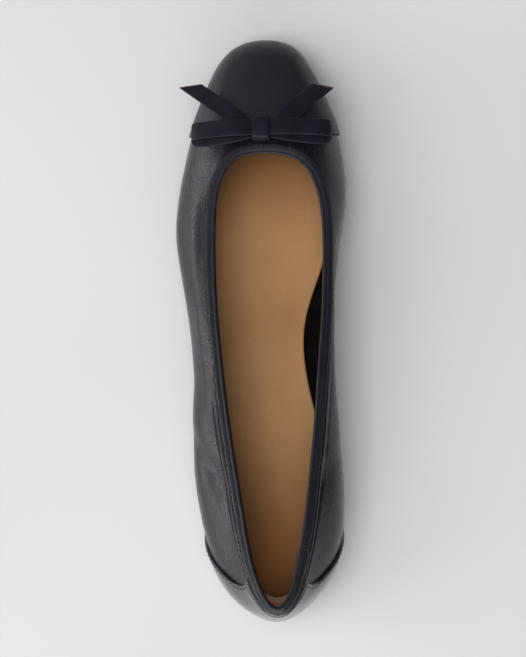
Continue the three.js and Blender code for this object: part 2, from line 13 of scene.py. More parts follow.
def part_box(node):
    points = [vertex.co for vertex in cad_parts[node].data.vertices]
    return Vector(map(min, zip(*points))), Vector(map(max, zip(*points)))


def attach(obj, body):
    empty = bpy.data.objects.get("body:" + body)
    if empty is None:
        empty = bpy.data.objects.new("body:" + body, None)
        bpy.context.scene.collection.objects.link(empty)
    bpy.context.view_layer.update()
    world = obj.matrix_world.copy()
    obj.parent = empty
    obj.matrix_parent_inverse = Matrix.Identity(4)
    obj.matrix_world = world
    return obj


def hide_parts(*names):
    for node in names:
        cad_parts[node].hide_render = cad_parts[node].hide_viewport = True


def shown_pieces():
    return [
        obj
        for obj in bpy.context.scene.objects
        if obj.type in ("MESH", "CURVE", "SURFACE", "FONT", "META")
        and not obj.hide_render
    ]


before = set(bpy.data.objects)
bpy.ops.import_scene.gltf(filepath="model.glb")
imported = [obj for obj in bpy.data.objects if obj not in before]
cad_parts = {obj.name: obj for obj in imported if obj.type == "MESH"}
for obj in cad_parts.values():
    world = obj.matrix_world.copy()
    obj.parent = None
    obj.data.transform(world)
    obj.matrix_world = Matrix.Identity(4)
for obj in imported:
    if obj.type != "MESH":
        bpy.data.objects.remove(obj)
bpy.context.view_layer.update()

# Driving dimensions of the last
LENGTH = 247.0
BALL_WIDTH = 73.6
BACK_HEIGHT = 57.0
HEEL_HEIGHT = 8.0
TOE_SPRING = 6.0

# Thicknesses and clearances
WALL = 1.5
LINING = 0.5
SOLE_THICKNESS = 3.0
INSOLE_THICKNESS = 3.0
SOCK_THICKNESS = 1.0
LIFT_THICKNESS = 2.2
OVERLAY_THICKNESS = 1.0
BINDING_THICKNESS = 0.7
BINDING_DEPTH = 4.6
BAND_DEPTH = 2.6
BAND_FACE = 0.8
BAND_LEAN = 1.4
RIBBON_THICKNESS = 0.9
GAP = 0.3

# Sole and heel
SOLE_MARGIN = 0.8
SOLE_BEVEL = 0.8
HEEL_LENGTH = 58.0
BREAST_HOLLOW = 3.0
HEEL_TAPER = 1.2
HEEL_SETBACK = 0.6
SEAT_MARGIN = 8.0
TREAD_START = 0.56
TREAD_END = 0.8

# Wall curves
FLARE = math.radians(55)
HANDLE_AT_SOLE = 0.35
HANDLE_BELOW = 0.4
HANDLE_AT_TOP = 0.38
WIDEST = 0.25

# Sections of the upper, as shares of the length, ball width and back height, with slopes in degrees
COLUMNS = ("along", "across", "up", "inset", "open_along", "open_across", "open_up", "slope", "crown")
TOE = (1, 0, 0.245, 0.057, 0.796, -0.012, 0.7, 18, 0.27)
HEEL = (0, 0, 0.44, 0.05, 0.0376, 0.02, 1, 76, 0.4)
LATERAL_SIDE = (
    (0.985, -0.183, 0.25, 0.056, 0.7945, -0.073, 0.7, 19, 0.27),
    (0.96, -0.261, 0.26, 0.055, 0.791, -0.126, 0.7, 21, 0.28),
    (0.92, -0.332, 0.27, 0.054, 0.7835, -0.17, 0.699, 25, 0.3),
    (0.87, -0.403, 0.285, 0.053, 0.772, -0.21, 0.697, 30, 0.33),
    (0.8, -0.473, 0.3, 0.052, 0.749, -0.249, 0.69, 38, 0.36),
    (0.72, -0.529, 0.315, 0.052, 0.712, -0.276, 0.68, 43, 0.38),
    (0.66, -0.543, 0.325, 0.053, 0.663, -0.287, 0.673, 46, 0.4),
    (0.6, -0.521, 0.34, 0.056, 0.607, -0.29, 0.672, 48, 0.4),
    (0.52, -0.479, 0.365, 0.06, 0.526, -0.282, 0.69, 52, 0.4),
    (0.44, -0.459, 0.39, 0.062, 0.4455, -0.26, 0.74, 55, 0.4),
    (0.35, -0.462, 0.41, 0.06, 0.3565, -0.228, 0.795, 57, 0.4),
    (0.26, -0.46, 0.425, 0.057, 0.268, -0.188, 0.85, 59, 0.4),
    (0.17, -0.424, 0.435, 0.054, 0.184, -0.146, 0.902, 62, 0.4),
    (0.1, -0.362, 0.44, 0.052, 0.1216, -0.111, 0.943, 66, 0.4),
    (0.06, -0.295, 0.44, 0.05, 0.084, -0.077, 0.967, 70, 0.4),
    (0.025, -0.19, 0.44, 0.05, 0.055, -0.035, 0.988, 74, 0.4),
)
MEDIAL_SIDE = (
    (0.985, 0.168, 0.25, 0.056, 0.7937, 0.08, 0.7, 19, 0.27),
    (0.96, 0.236, 0.26, 0.055, 0.7895, 0.138, 0.7, 21, 0.28),
    (0.92, 0.304, 0.275, 0.054, 0.7825, 0.183, 0.699, 25, 0.3),
    (0.87, 0.378, 0.29, 0.053, 0.77, 0.23, 0.697, 30, 0.33),
    (0.8, 0.438, 0.305, 0.053, 0.749, 0.265, 0.69, 38, 0.36),
    (0.72, 0.457, 0.33, 0.055, 0.7096, 0.3, 0.68, 43, 0.38),
    (0.66, 0.425, 0.41, 0.064, 0.658, 0.312, 0.673, 46, 0.38),
    (0.6, 0.394, 0.52, 0.088, 0.602, 0.309, 0.672, 48, 0.36),
    (0.52, 0.379, 0.57, 0.168, 0.5244, 0.296, 0.69, 50, 0.36),
    (0.44, 0.376, 0.57, 0.182, 0.4434, 0.272, 0.74, 52, 0.38),
    (0.35, 0.385, 0.54, 0.133, 0.344, 0.242, 0.8, 55, 0.4),
    (0.26, 0.405, 0.49, 0.09, 0.25, 0.206, 0.86, 58, 0.4),
    (0.17, 0.402, 0.46, 0.067, 0.164, 0.167, 0.915, 62, 0.4),
    (0.1, 0.355, 0.445, 0.056, 0.1064, 0.128, 0.95, 66, 0.4),
    (0.06, 0.288, 0.44, 0.051, 0.071, 0.099, 0.97, 70, 0.4),
    (0.025, 0.183, 0.44, 0.05, 0.0488, 0.066, 0.99, 74, 0.4),
)

# Overlay seams: the cap's in plan, the counter's from the side
CAP_SEAM = ((0.82, -0.6), (0.846, 0.0), (0.815, 0.6))
COUNTER_SEAM = (
    (0.19, 0.1), (0.134, 0.42), (0.1, 0.57), (0.076, 0.68), (0.068, 0.74),
    (0.069, 0.79), (0.075, 0.84), (0.086, 0.89), (0.1, 0.94), (0.115, 0.99),
)
OVERLAY_FOOT = 0.05

# Ribbon bow
BOW_ALONG = 0.834
BOW_ACROSS = -0.016
RIBBON_WIDTH = 7.3
KNOT_WIDTH = 7.0
KNOT_LENGTH = 9.6
KNOT_HEIGHT = 5.6
LOOP_REACH = 29.0
LOOP_DROOP = 3.0
LOOP_LIFT = 0.4
LOOP_SPREAD = 2.8
LOOP_FOLD = (
    (0, 0.7), (0.14, 0.9), (0.36, 1), (0.63, 0.97), (0.86, 0.85), (0.965, 0.68),
    (1, 0.42), (0.965, 0.16), (0.84, 0.04), (0.6, 0), (0.3, 0), (0, 0),
)
TAILS = {
    "lateral": {"out": -30.0, "ahead": 22.4, "slant": 3.4, "droop": 3.0, "wide": 1.0},
    "medial": {"out": 26.2, "ahead": 20.8, "slant": 2.4, "droop": 3.0, "wide": 1.1},
}

MM = 0.001


def smooth(edge0, edge1, value):
    """0 before edge0, 1 after edge1, and a soft step between."""
    share = np.clip((value - edge0) / (edge1 - edge0), 0, 1)
    return share * share * (3 - 2 * share)


def bump(value, centre, width):
    """A soft hump of height 1."""
    return np.exp(-(((value - centre) / width) ** 2))


def closed_spline(knots, values):
    """A smooth closed curve through values at knots from 0 to 1."""
    count = len(knots)
    order = np.arange(count)
    after = np.diff(np.append(knots, 1.0))
    before = np.roll(after, 1)
    slopes = (np.roll(values, -1) - values) / after
    system = np.zeros((count, count))
    system[order, order - 1] = before / 6
    system[order, order] = (before + after) / 3
    system[order, (order + 1) % count] = after / 6
    bends = np.linalg.solve(system, slopes - np.roll(slopes, 1))

    def at(u):
        place = np.mod(u, 1.0)
        i = np.searchsorted(knots, place, side="right") - 1
        ahead = (i + 1) % count
        right = (place - knots[i]) / after[i]
        left = 1 - right
        bend = (left**3 - left) * bends[i] + (right**3 - right) * bends[ahead]
        return left * values[i] + right * values[ahead] + bend * after[i] ** 2 / 6

    return at


def ring_of_sections():
    """One closed spline for each column, round the shoe from the toe along the lateral side."""
    rows = np.array([TOE, *LATERAL_SIDE, HEEL, *MEDIAL_SIDE[::-1]], float)
    heel = len(LATERAL_SIDE) + 1
    plan = rows[:, 1::-1] * (BALL_WIDTH, LENGTH)
    steps = np.linalg.norm(np.roll(plan, -1, axis=0) - plan, axis=1)
    lateral = np.concatenate([[0], np.cumsum(steps[:heel])]) / steps[:heel].sum() / 2
    medial = 0.5 + np.cumsum(steps[heel:])[:-1] / steps[heel:].sum() / 2
    knots = np.concatenate([lateral, medial])
    return {name: closed_spline(knots, rows[:, i]) for i, name in enumerate(COLUMNS)}


RING = ring_of_sections()


def sole_underside(y):
    """Height of the sole's underside: seat, arch, tread and toe spring."""
    share = y / LENGTH + 0.5
    arch = smooth((HEEL_LENGTH + SEAT_MARGIN) / LENGTH, TREAD_START, share)
    spring = np.clip((share - TREAD_END) / (1 - TREAD_END), 0, None)
    return HEEL_HEIGHT * (1 - arch) + TOE_SPRING * spring**2


def seat_height(y):
    """Height at which the upper and the insole sit on the sole."""
    return sole_underside(y) + SOLE_THICKNESS + GAP


def place(along, across, up):
    """A point from its shares of the length, ball width and back height."""
    return np.stack([across * BALL_WIDTH, (along - 0.5) * LENGTH, up * BACK_HEIGHT], -1)


def widest_line(u):
    return place(RING["along"](u), RING["across"](u), RING["up"](u))


def opening_edge(u):
    return place(RING["open_along"](u), RING["open_across"](u), RING["open_up"](u))


def outward_of(curve, u):
    """Unit vectors in plan that point out of a closed curve."""
    step = curve(u + 1e-4) - curve(u - 1e-4)
    out = np.stack([step[..., 1], -step[..., 0], np.zeros_like(step[..., 0])], -1)
    return out / np.linalg.norm(out, axis=-1, keepdims=True)


def lower_edge(u):
    edge = widest_line(u) - outward_of(widest_line, u) * (RING["inset"](u) * BALL_WIDTH)[..., None]
    edge[..., 2] = seat_height(edge[..., 1])
    return edge


def top_edge(u):
    slope = np.radians(RING["slope"](u))
    fold = GAP + BINDING_THICKNESS
    out = fold * np.cos(slope) + (WALL + fold) * np.sin(slope)
    edge = opening_edge(u) + outward_of(opening_edge, u) * out[..., None]
    edge[..., 2] -= fold * np.sin(slope)
    return edge


def bezier(corners, share):
    t = share[..., None]
    a, b, c, d = corners
    return a * (1 - t) ** 3 + 3 * b * t * (1 - t) ** 2 + 3 * c * t * t * (1 - t) + d * t**3


def raised(points, height):
    lifted = points.copy()
    lifted[..., 2] += height
    return lifted


def face_point(u, s):
    """The upper's outer face: u runs round the ring, s from the lower edge to the top edge."""
    low, wide, top = lower_edge(u), widest_line(u), top_edge(u)
    out = outward_of(widest_line, u)
    inward = (top - wide) * (1, 1, 0)
    inward /= np.linalg.norm(inward, axis=-1, keepdims=True)
    slope = np.radians(RING["slope"](u))
    low_reach = np.linalg.norm(wide - low, axis=-1)
    top_reach = np.linalg.norm(wide - top, axis=-1)
    sole = HANDLE_AT_SOLE * low_reach
    low_handle = raised(low + out * (sole * math.cos(FLARE))[..., None], sole * math.sin(FLARE))
    below = raised(wide, -HANDLE_BELOW * low_reach)
    above = raised(wide, RING["crown"](u) * top_reach)
    edge = HANDLE_AT_TOP * top_reach
    top_handle = raised(top - inward * (edge * np.cos(slope))[..., None], -edge * np.sin(slope))
    lower = bezier((low, low_handle, below, wide), np.clip(s / WIDEST, 0, 1))
    upper = bezier((wide, above, top_handle, top), np.clip((s - WIDEST) / (1 - WIDEST), 0, 1))
    return np.where((s < WIDEST)[..., None], lower, upper)


def face_frame(u, s):
    """Points, outward normals, upward directions and the length of a unit of s."""
    u, s = np.broadcast_arrays(np.asarray(u, float), np.asarray(s, float))
    low = np.maximum(0, s - 1e-3)
    high = np.minimum(1, s + 1e-3)
    along = face_point(u + 1e-3, s) - face_point(u - 1e-3, s)
    rise = face_point(u, high) - face_point(u, low)
    length = np.linalg.norm(rise, axis=-1)
    normal = np.cross(along, rise)
    normal /= np.linalg.norm(normal, axis=-1, keepdims=True)
    return face_point(u, s), normal, rise / length[..., None], length / (high - low)


def offset_point(u, s, distance, beyond=0.0):
    """Points at a distance outside the face; beyond is a distance past the top edge."""
    point, normal, rise, _ = face_frame(u, s)
    distance = np.broadcast_to(np.asarray(distance, float), point.shape[:-1])
    beyond = np.broadcast_to(np.asarray(beyond, float), point.shape[:-1])
    return point + normal * distance[..., None] + rise * beyond[..., None]


def top_speed(u):
    """Length of a unit of s at the top edge."""
    return face_frame(u, np.ones_like(u))[3]


def bisect(rising, low, high):
    """Where a rising function passes zero between two ends, for whole arrays at once."""
    low, high = np.array(low, float), np.array(high, float)
    for _ in range(40):
        middle = (low + high) / 2
        under = rising(middle) < 0
        low = np.where(under, middle, low)
        high = np.where(under, high, middle)
    return (low + high) / 2


def catmull(points, steps):
    """A smooth open curve through a few points."""
    points = np.array(points, float)
    padded = np.vstack([2 * points[0] - points[1], points, 2 * points[-1] - points[-2]])
    spans = len(points) - 1
    t = np.linspace(0, spans, steps)
    i = np.minimum(t.astype(int), spans - 1)
    f = (t - i)[:, None]
    a, b, c, d = padded[i], padded[i + 1], padded[i + 2], padded[i + 3]
    return 0.5 * (2 * b + (c - a) * f + (2 * a - 5 * b + 4 * c - d) * f**2 + (3 * b - a - 3 * c + d) * f**3)


# The shoe's box is centred on the origin, so the last's frame is moved to it
upper_lo, upper_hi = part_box("upper")
_outline = widest_line(np.linspace(0, 1, 2000))
TO_FRAME = np.array([
    (upper_lo.x + upper_hi.x) / 2 / MM - (_outline[:, 0].min() + _outline[:, 0].max()) / 2,
    (upper_lo.y + upper_hi.y) / 2 / MM - (_outline[:, 1].min() + _outline[:, 1].max()) / 2,
    0.0,
])


def make_piece(name, points, faces, replaces=(), uv=None, wrap=None):
    """A closed mesh piece in metres that rides on the shoe."""
    mesh = bpy.data.meshes.new(name)
    mesh.from_pydata(((points + TO_FRAME) * MM).tolist(), [], [list(f) for f in faces])
    if uv is not None:
        corner = np.empty(len(mesh.loops), int)
        mesh.loops.foreach_get("vertex_index", corner)
        values = uv[corner]
        if wrap:
            starts = np.empty(len(mesh.polygons), int)
            totals = np.empty(len(mesh.polygons), int)
            mesh.polygons.foreach_get("loop_start", starts)
            mesh.polygons.foreach_get("loop_total", totals)
            face_of = np.repeat(np.arange(len(starts)), totals)
            highest = np.full(len(starts), -np.inf)
            np.maximum.at(highest, face_of, values[:, 0])
            values[:, 0] += np.where(highest[face_of] - values[:, 0] > wrap / 2, wrap, 0)
        layer = mesh.uv_layers.new(name="UVMap")
        layer.data.foreach_set("uv", values.astype(np.float32).ravel())
    work = bmesh.new()
    work.from_mesh(mesh)
    bmesh.ops.remove_doubles(work, verts=work.verts, dist=1e-7)
    bmesh.ops.recalc_face_normals(work, faces=work.faces)
    work.to_mesh(mesh)
    work.free()
    mesh.shade_smooth()
    piece = bpy.data.objects.new(name, mesh)
    bpy.context.scene.collection.objects.link(piece)
    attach(piece, "root")
    if replaces:
        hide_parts(*replaces)
    return piece


def grid_faces(rows, columns, closed_rows, closed_columns, start=0):
    """Quads of a grid of vertices, row by row."""
    i = np.arange(rows if closed_rows else rows - 1)[:, None]
    k = np.arange(columns if closed_columns else columns - 1)[None, :]
    after = (i + 1) % rows
    beside = (k + 1) % columns
    quads = np.stack([i * columns + k, after * columns + k, after * columns + beside, i * columns + beside], -1)
    return (quads.reshape(-1, 4) + start).tolist()


def band_round(name, loops, replaces=(), uv=None, wrap=None):
    """A closed band: loops of section corners round the ring."""
    rows, columns = loops.shape[:2]
    flat_uv = None if uv is None else uv.reshape(-1, 2)
    return make_piece(
        name, loops.reshape(-1, 3), grid_faces(rows, columns, True, True), replaces, flat_uv, wrap
    )


def shell(name, outer, inner, replaces=(), uv=None):
    """A closed patch between two grids of the same size."""
    rows, columns = outer.shape[:2]
    count = rows * columns
    faces = grid_faces(rows, columns, False, False)
    faces += [f[::-1] for f in grid_faces(rows, columns, False, False, count)]
    border = (
        [(0, k) for k in range(columns)]
        + [(i, columns - 1) for i in range(1, rows)]
        + [(rows - 1, k) for k in range(columns - 2, -1, -1)]
        + [(i, 0) for i in range(rows - 2, 0, -1)]
    )
    edge = [i * columns + k for i, k in border]
    for a, b in zip(edge, edge[1:] + edge[:1]):
        faces.append([b, a, a + count, b + count])
    points = np.concatenate([outer.reshape(-1, 3), inner.reshape(-1, 3)])
    flat_uv = None if uv is None else np.concatenate([uv.reshape(-1, 2)] * 2)
    return make_piece(name, points, faces, replaces, flat_uv)


def plate(name, edges, bottom, top, columns, replaces=()):
    """A plate from edge rings, listed from the bottom up, with its faces on ribs from side to side."""
    levels, count = edges.shape[:2]
    half = count // 2
    points = [edges.reshape(-1, 3)]
    faces = []
    for level in range(levels - 1):
        for i in range(count):
            a, b = level * count + i, level * count + (i + 1) % count
            faces.append([a, b, b + count, a + count])
    total = levels * count
    share = np.arange(1, columns)[None, :, None] / columns
    for ring_index, height in ((0, bottom), (levels - 1, top)):
        ring = edges[ring_index]
        left, right = ring[1:half][:, None], ring[:half:-1][:, None]
        inner = left + (right - left) * share
        inner[..., 2] = height(inner)
        start = ring_index * count
        index = np.empty((half - 1, columns + 1), int)
        index[:, 0] = start + np.arange(1, half)
        index[:, -1] = start + np.arange(count - 1, half, -1)
        index[:, 1:-1] = total + np.arange((half - 1) * (columns - 1)).reshape(half - 1, -1)
        points.append(inner.reshape(-1, 3))
        total += inner.shape[0] * inner.shape[1]
        for m in range(columns):
            faces.append([start, index[0, m], index[0, m + 1]])
            faces.append([index[-1, m], start + half, index[-1, m + 1]])
        a, b = index[:-1, :-1], index[1:, :-1]
        c, d = index[1:, 1:], index[:-1, 1:]
        faces += np.stack([a, b, c, d], -1).reshape(-1, 4).tolist()
    return make_piece(name, np.concatenate(points), faces, replaces)


# Relief of the leather

RING_U = np.linspace(0, 1, 4000, endpoint=False)
COLLAR_LENGTH = float(np.linalg.norm(np.diff(top_edge(np.append(RING_U, 1.0)), axis=0), axis=1).sum())


def share_on_side(along, medial):
    """The place on the ring where the opening passes a share of the length."""
    u = RING_U[RING_U > 0.5] if medial else RING_U[RING_U < 0.5]
    return float(u[np.argmin(np.abs(RING["open_along"](u) - along))])


GATHER_FRONT = share_on_side(0.47, False)
GATHER_BACK = share_on_side(0.27, False)
BINDING_JOINT = share_on_side(0.128, True)


def gather_strength(u):
    """How much the collar is gathered: most on the lateral side, some at the throat and heel."""
    place_on_ring = np.mod(u, 1.0)
    lateral = smooth(GATHER_FRONT - 0.05, GATHER_FRONT + 0.04, place_on_ring)
    lateral = lateral * (1 - smooth(GATHER_BACK, GATHER_BACK + 0.06, place_on_ring))
    from_toe = np.minimum(place_on_ring, 1 - place_on_ring)
    throat = 1 - smooth(0.02, 0.06, from_toe)
    medial = smooth(0.6, 0.68, place_on_ring) * (1 - smooth(0.8, 0.86, place_on_ring))
    return lateral + 0.5 * throat + 0.35 * medial


def ripple(u, waves, phase):
    return np.sin(2 * math.pi * waves * u + phase)


def gathers(u):
    """Uneven small pleats across the collar, from -1 to 1."""
    drift = 0.35 * ripple(u, 23, 0.4) + 0.25 * ripple(u, 41, 2.0)
    pleats = 0.6 * ripple(u + drift / 150, 131, 0.0) + 0.4 * ripple(u, 89, 1.3)
    return pleats * (0.7 + 0.3 * ripple(u, 17, 0.9))


def trough(point, start, end, width, depth):
    """A soft groove in the leather along a straight stretch between two points of the last."""
    start, end = np.array(start, float), np.array(end, float)
    run = end - start
    share = np.clip(((point - start) @ run) / (run @ run), 0, 1)
    away = np.linalg.norm(point - (start + share[..., None] * run), axis=-1)
    fade = np.sin(math.pi * np.clip(share * 0.9 + 0.05, 0, 1)) ** 0.5
    return -depth * np.exp(-((away / width) ** 2)) * fade


def crease_point(along, across, up):
    return place(np.float64(along), np.float64(across), np.float64(up))


# Creases: start, end, half width and depth, with minus for a ridge
CREASES = (
    (crease_point(0.315, -0.46, 0.5), crease_point(0.235, -0.3, 0.78), 4.5, 1.1),
    (crease_point(0.36, -0.45, 0.5), crease_point(0.27, -0.33, 0.78), 6.0, -0.6),
    (crease_point(0.25, -0.44, 0.5), crease_point(0.17, -0.25, 0.84), 6.0, -0.45),
    (crease_point(0.42, -0.44, 0.35), crease_point(0.4, -0.36, 0.6), 7.0, 0.4),
    (crease_point(0.3, 0.4, 0.5), crease_point(0.24, 0.28, 0.76), 5.0, 0.45),
    (crease_point(0.5, 0.37, 0.3), crease_point(0.47, 0.33, 0.6), 8.0, 0.35),
)


def channel(depth):
    """The roll of the drawstring channel under the binding, between two fine grooves."""
    roll = 0.55 * bump(depth, BAND_DEPTH + 2.2, 1.1)
    return roll - 0.5 * bump(depth, BAND_DEPTH + 0.45, 0.45) - 0.4 * bump(depth, BAND_DEPTH + 4.0, 0.5)


def upper_relief(u, s, point):
    """How far the upper's outer face stands out from the last's surface."""
    depth = (1 - s) * top_speed(u[:, :1])
    along = RING["along"](u)
    rear = 1 - smooth(0.3, 0.46, along)
    pleats = gathers(u) * gather_strength(u) * bump(depth, BAND_DEPTH + 2.4, 1.8) * 0.14
    lift = channel(depth) * rear + pleats - 0.12 * bump(depth, BAND_DEPTH + 0.5, 0.6) * (1 - rear)
    for start, end, width, deep in CREASES:
        lift = lift + trough(point, start, end, width, deep)
    waves = 0.08 * ripple(u, 9, 0.5) * ripple(s, 1.3, 0.2) + 0.05 * ripple(u, 14, 2.2) * ripple(s, 2.1, 1.0)
    outer_side = smooth(0.3, 0.42, along) * (1 - smooth(0.68, 0.8, along)) * (u < 0.5)
    lift = lift + outer_side * 0.9 * bump(depth, 9.0, 5.0)
    tucked = 0.9 * (1 - smooth(0.2, 1.9, depth))
    return lift + waves * smooth(0.1, 0.3, s) * (1 - smooth(0.8, 0.95, s)) - tucked


# Pieces


def build_upper():
    """Leather shell: outer face with its relief, down to the lining's back."""
    rows = np.concatenate([np.linspace(0, WIDEST, 9)[:-1], np.linspace(WIDEST, 0.82, 18)[:-1],
                           np.linspace(0.82, 1, 34)])
    u = np.linspace(0, 1, 1240, endpoint=False)[:, None] + np.zeros(len(rows))
    s = np.zeros_like(u) + rows
    outer = offset_point(u, s, upper_relief(u, s, face_point(u, s)))
    inner_rows = np.linspace(1, 0, 19)
    ui, si = u[:, :len(inner_rows)], np.zeros((len(u), len(inner_rows))) + inner_rows
    inner = offset_point(ui, si, -(WALL - LINING) + 0.2)
    loops = np.concatenate([outer, inner], axis=1)
    depth = (1 - np.concatenate([s, si], axis=1)) * top_speed(u[:, :1])
    uv = np.stack([np.concatenate([u, ui], axis=1) * COLLAR_LENGTH, depth], -1) * MM
    return band_round("upper_leather", loops, ("upper",), uv, COLLAR_LENGTH * MM)


def build_lining():
    rows = np.linspace(0, 1, 30)
    u = np.linspace(0, 1, 400, endpoint=False)[:, None] + np.zeros(len(rows))
    outer = offset_point(u, np.zeros_like(u) + rows, -(WALL - LINING) - 0.02)
    inner = offset_point(u, np.zeros_like(u) + rows[::-1], -WALL)
    return band_round("lining", np.concatenate([outer, inner], axis=1))


def rounded_edge(distance, radius):
    """Height share of an edge turned over with a radius, at a distance from its rim."""
    inside = np.clip(1 - distance / radius, 0, 1)
    return np.sqrt(1 - inside**2)


def seam_dip(distance):
    """The sewn line just inside an overlay's edge."""
    return -0.16 * bump(distance, 1.7, 0.35)


def cap_seam_height(x):
    """Where the cap's seam lies along the shoe, in plan."""
    (a0, c0), (a1, c1), (a2, c2) = CAP_SEAM
    middle = 2 * a1 - (a0 + a2) / 2
    t = (x / BALL_WIDTH - c0) / (c2 - c0)
    along = a0 * (1 - t) ** 2 + 2 * middle * t * (1 - t) + a2 * t * t
    return (along - 0.5) * LENGTH


def cap_shares(count):
    """The cap's seam on the ring: shares u and s from the lateral end to the medial end."""
    foot = OVERLAY_FOOT

    def behind(u, s):
        point = face_point(u, s)
        return cap_seam_height(point[..., 0]) - point[..., 1]

    lateral = float(bisect(lambda u: behind(u, np.full_like(u, foot)), [0.02], [0.25])[0])
    medial = -float(bisect(lambda u: behind(-u, np.full_like(u, foot)), [0.02], [0.25])[0])
    bend = np.linspace(-1, 1, 6001)
    u = (lateral + medial) / 2 - (lateral - medial) / 2 * np.sin(bend * math.pi / 2)
    s = bisect(lambda s: behind(u, s), np.full_like(u, foot), np.full_like(u, 1.0))
    path = face_point(u, s)
    length = np.concatenate([[0], np.cumsum(np.linalg.norm(np.diff(path, axis=0), axis=1))])
    even = np.linspace(0, length[-1], count)
    return np.interp(even, length, u), np.interp(even, length, s), lateral, medial


def build_toe_cap():
    count = 400
    seam_u, seam_s, lateral, medial = cap_shares(count)
    base_u = np.linspace(lateral, medial, count)
    rows = np.concatenate([np.linspace(0, 0.86, 60)[:-1], np.linspace(0.86, 1, 60)])
    w = rows[None, :]
    u = base_u[:, None] * (1 - w) + seam_u[:, None] * w
    s = OVERLAY_FOOT * (1 - w) + seam_s[:, None] * w
    points = face_point(u, s)
    steps = np.linalg.norm(np.diff(points, axis=1), axis=-1)
    distance = np.concatenate([np.cumsum(steps[:, ::-1], axis=1)[:, ::-1], np.zeros((count, 1))], axis=1)
    lift = GAP - 0.1 + (OVERLAY_THICKNESS + 0.1) * rounded_edge(distance, 0.9) + seam_dip(distance)
    outer = offset_point(u, s, lift)
    inner = offset_point(u, s, GAP - 0.15)
    uv = np.stack([np.broadcast_to(base_u[:, None] * COLLAR_LENGTH, u.shape), distance], -1) * MM
    return shell("toe_cap_leather", outer, inner, ("toe_cap",), uv)


def counter_seam_y(z):
    path = catmull([((along - 0.5) * LENGTH, up * BACK_HEIGHT) for along, up in COUNTER_SEAM], 200)
    return np.interp(z, path[:, 1], path[:, 0])


def counter_rows(r):
    """For each row share, where the counter's seams lie on the ring on both sides."""

    def share(u):
        top = 1 - (BAND_DEPTH + GAP) / top_speed(u)
        return OVERLAY_FOOT + r * (top - OVERLAY_FOOT)

    def ahead(u):
        point = face_point(u, share(u))
        return counter_seam_y(point[..., 2]) - point[..., 1]

    lateral = bisect(ahead, np.full_like(r, 0.3), np.full_like(r, 0.5))
    medial = 1 - bisect(lambda v: ahead(1 - v), np.full_like(r, 0.3), np.full_like(r, 0.5))
    return lateral, medial


def build_counter():
    r = np.concatenate([np.linspace(0, 0.78, 40)[:-1], np.linspace(0.78, 1, 50)])
    lateral, medial = counter_rows(r)
    half = np.concatenate([np.linspace(0, 0.06, 24)[:-1], np.linspace(0.06, 0.5, 60)])
    v = np.concatenate([half, 1 - half[::-1][1:]])[:, None]
    u = lateral[None, :] * (1 - v) + medial[None, :] * v
    top = 1 - (BAND_DEPTH + GAP) / top_speed(u)
    s = OVERLAY_FOOT + r[None, :] * (top - OVERLAY_FOOT)
    points = face_point(u, s)
    steps = np.linalg.norm(np.diff(points, axis=0), axis=-1)
    zero = np.zeros((1, len(r)))
    from_lateral = np.concatenate([zero, np.cumsum(steps, axis=0)])
    from_medial = from_lateral[-1:] - from_lateral
    distance = np.minimum(from_lateral, from_medial)
    lift = GAP + OVERLAY_THICKNESS * rounded_edge(distance, 0.8) + seam_dip(distance)
    depth = (1 - s) * top_speed(u)
    lift = lift * (0.35 + 0.65 * smooth(BAND_DEPTH, BAND_DEPTH + 4, depth)) + channel(depth)
    lift = lift + 0.1 * ripple(u, 21, 0.3) * ripple(s, 1.7, 0.5)
    outer = offset_point(u, s, lift)
    inner = offset_point(u, s, GAP - 0.15)
    uv = np.stack([u * COLLAR_LENGTH, distance], -1) * MM
    return shell("counter_leather", outer, inner, ("counter",), uv)


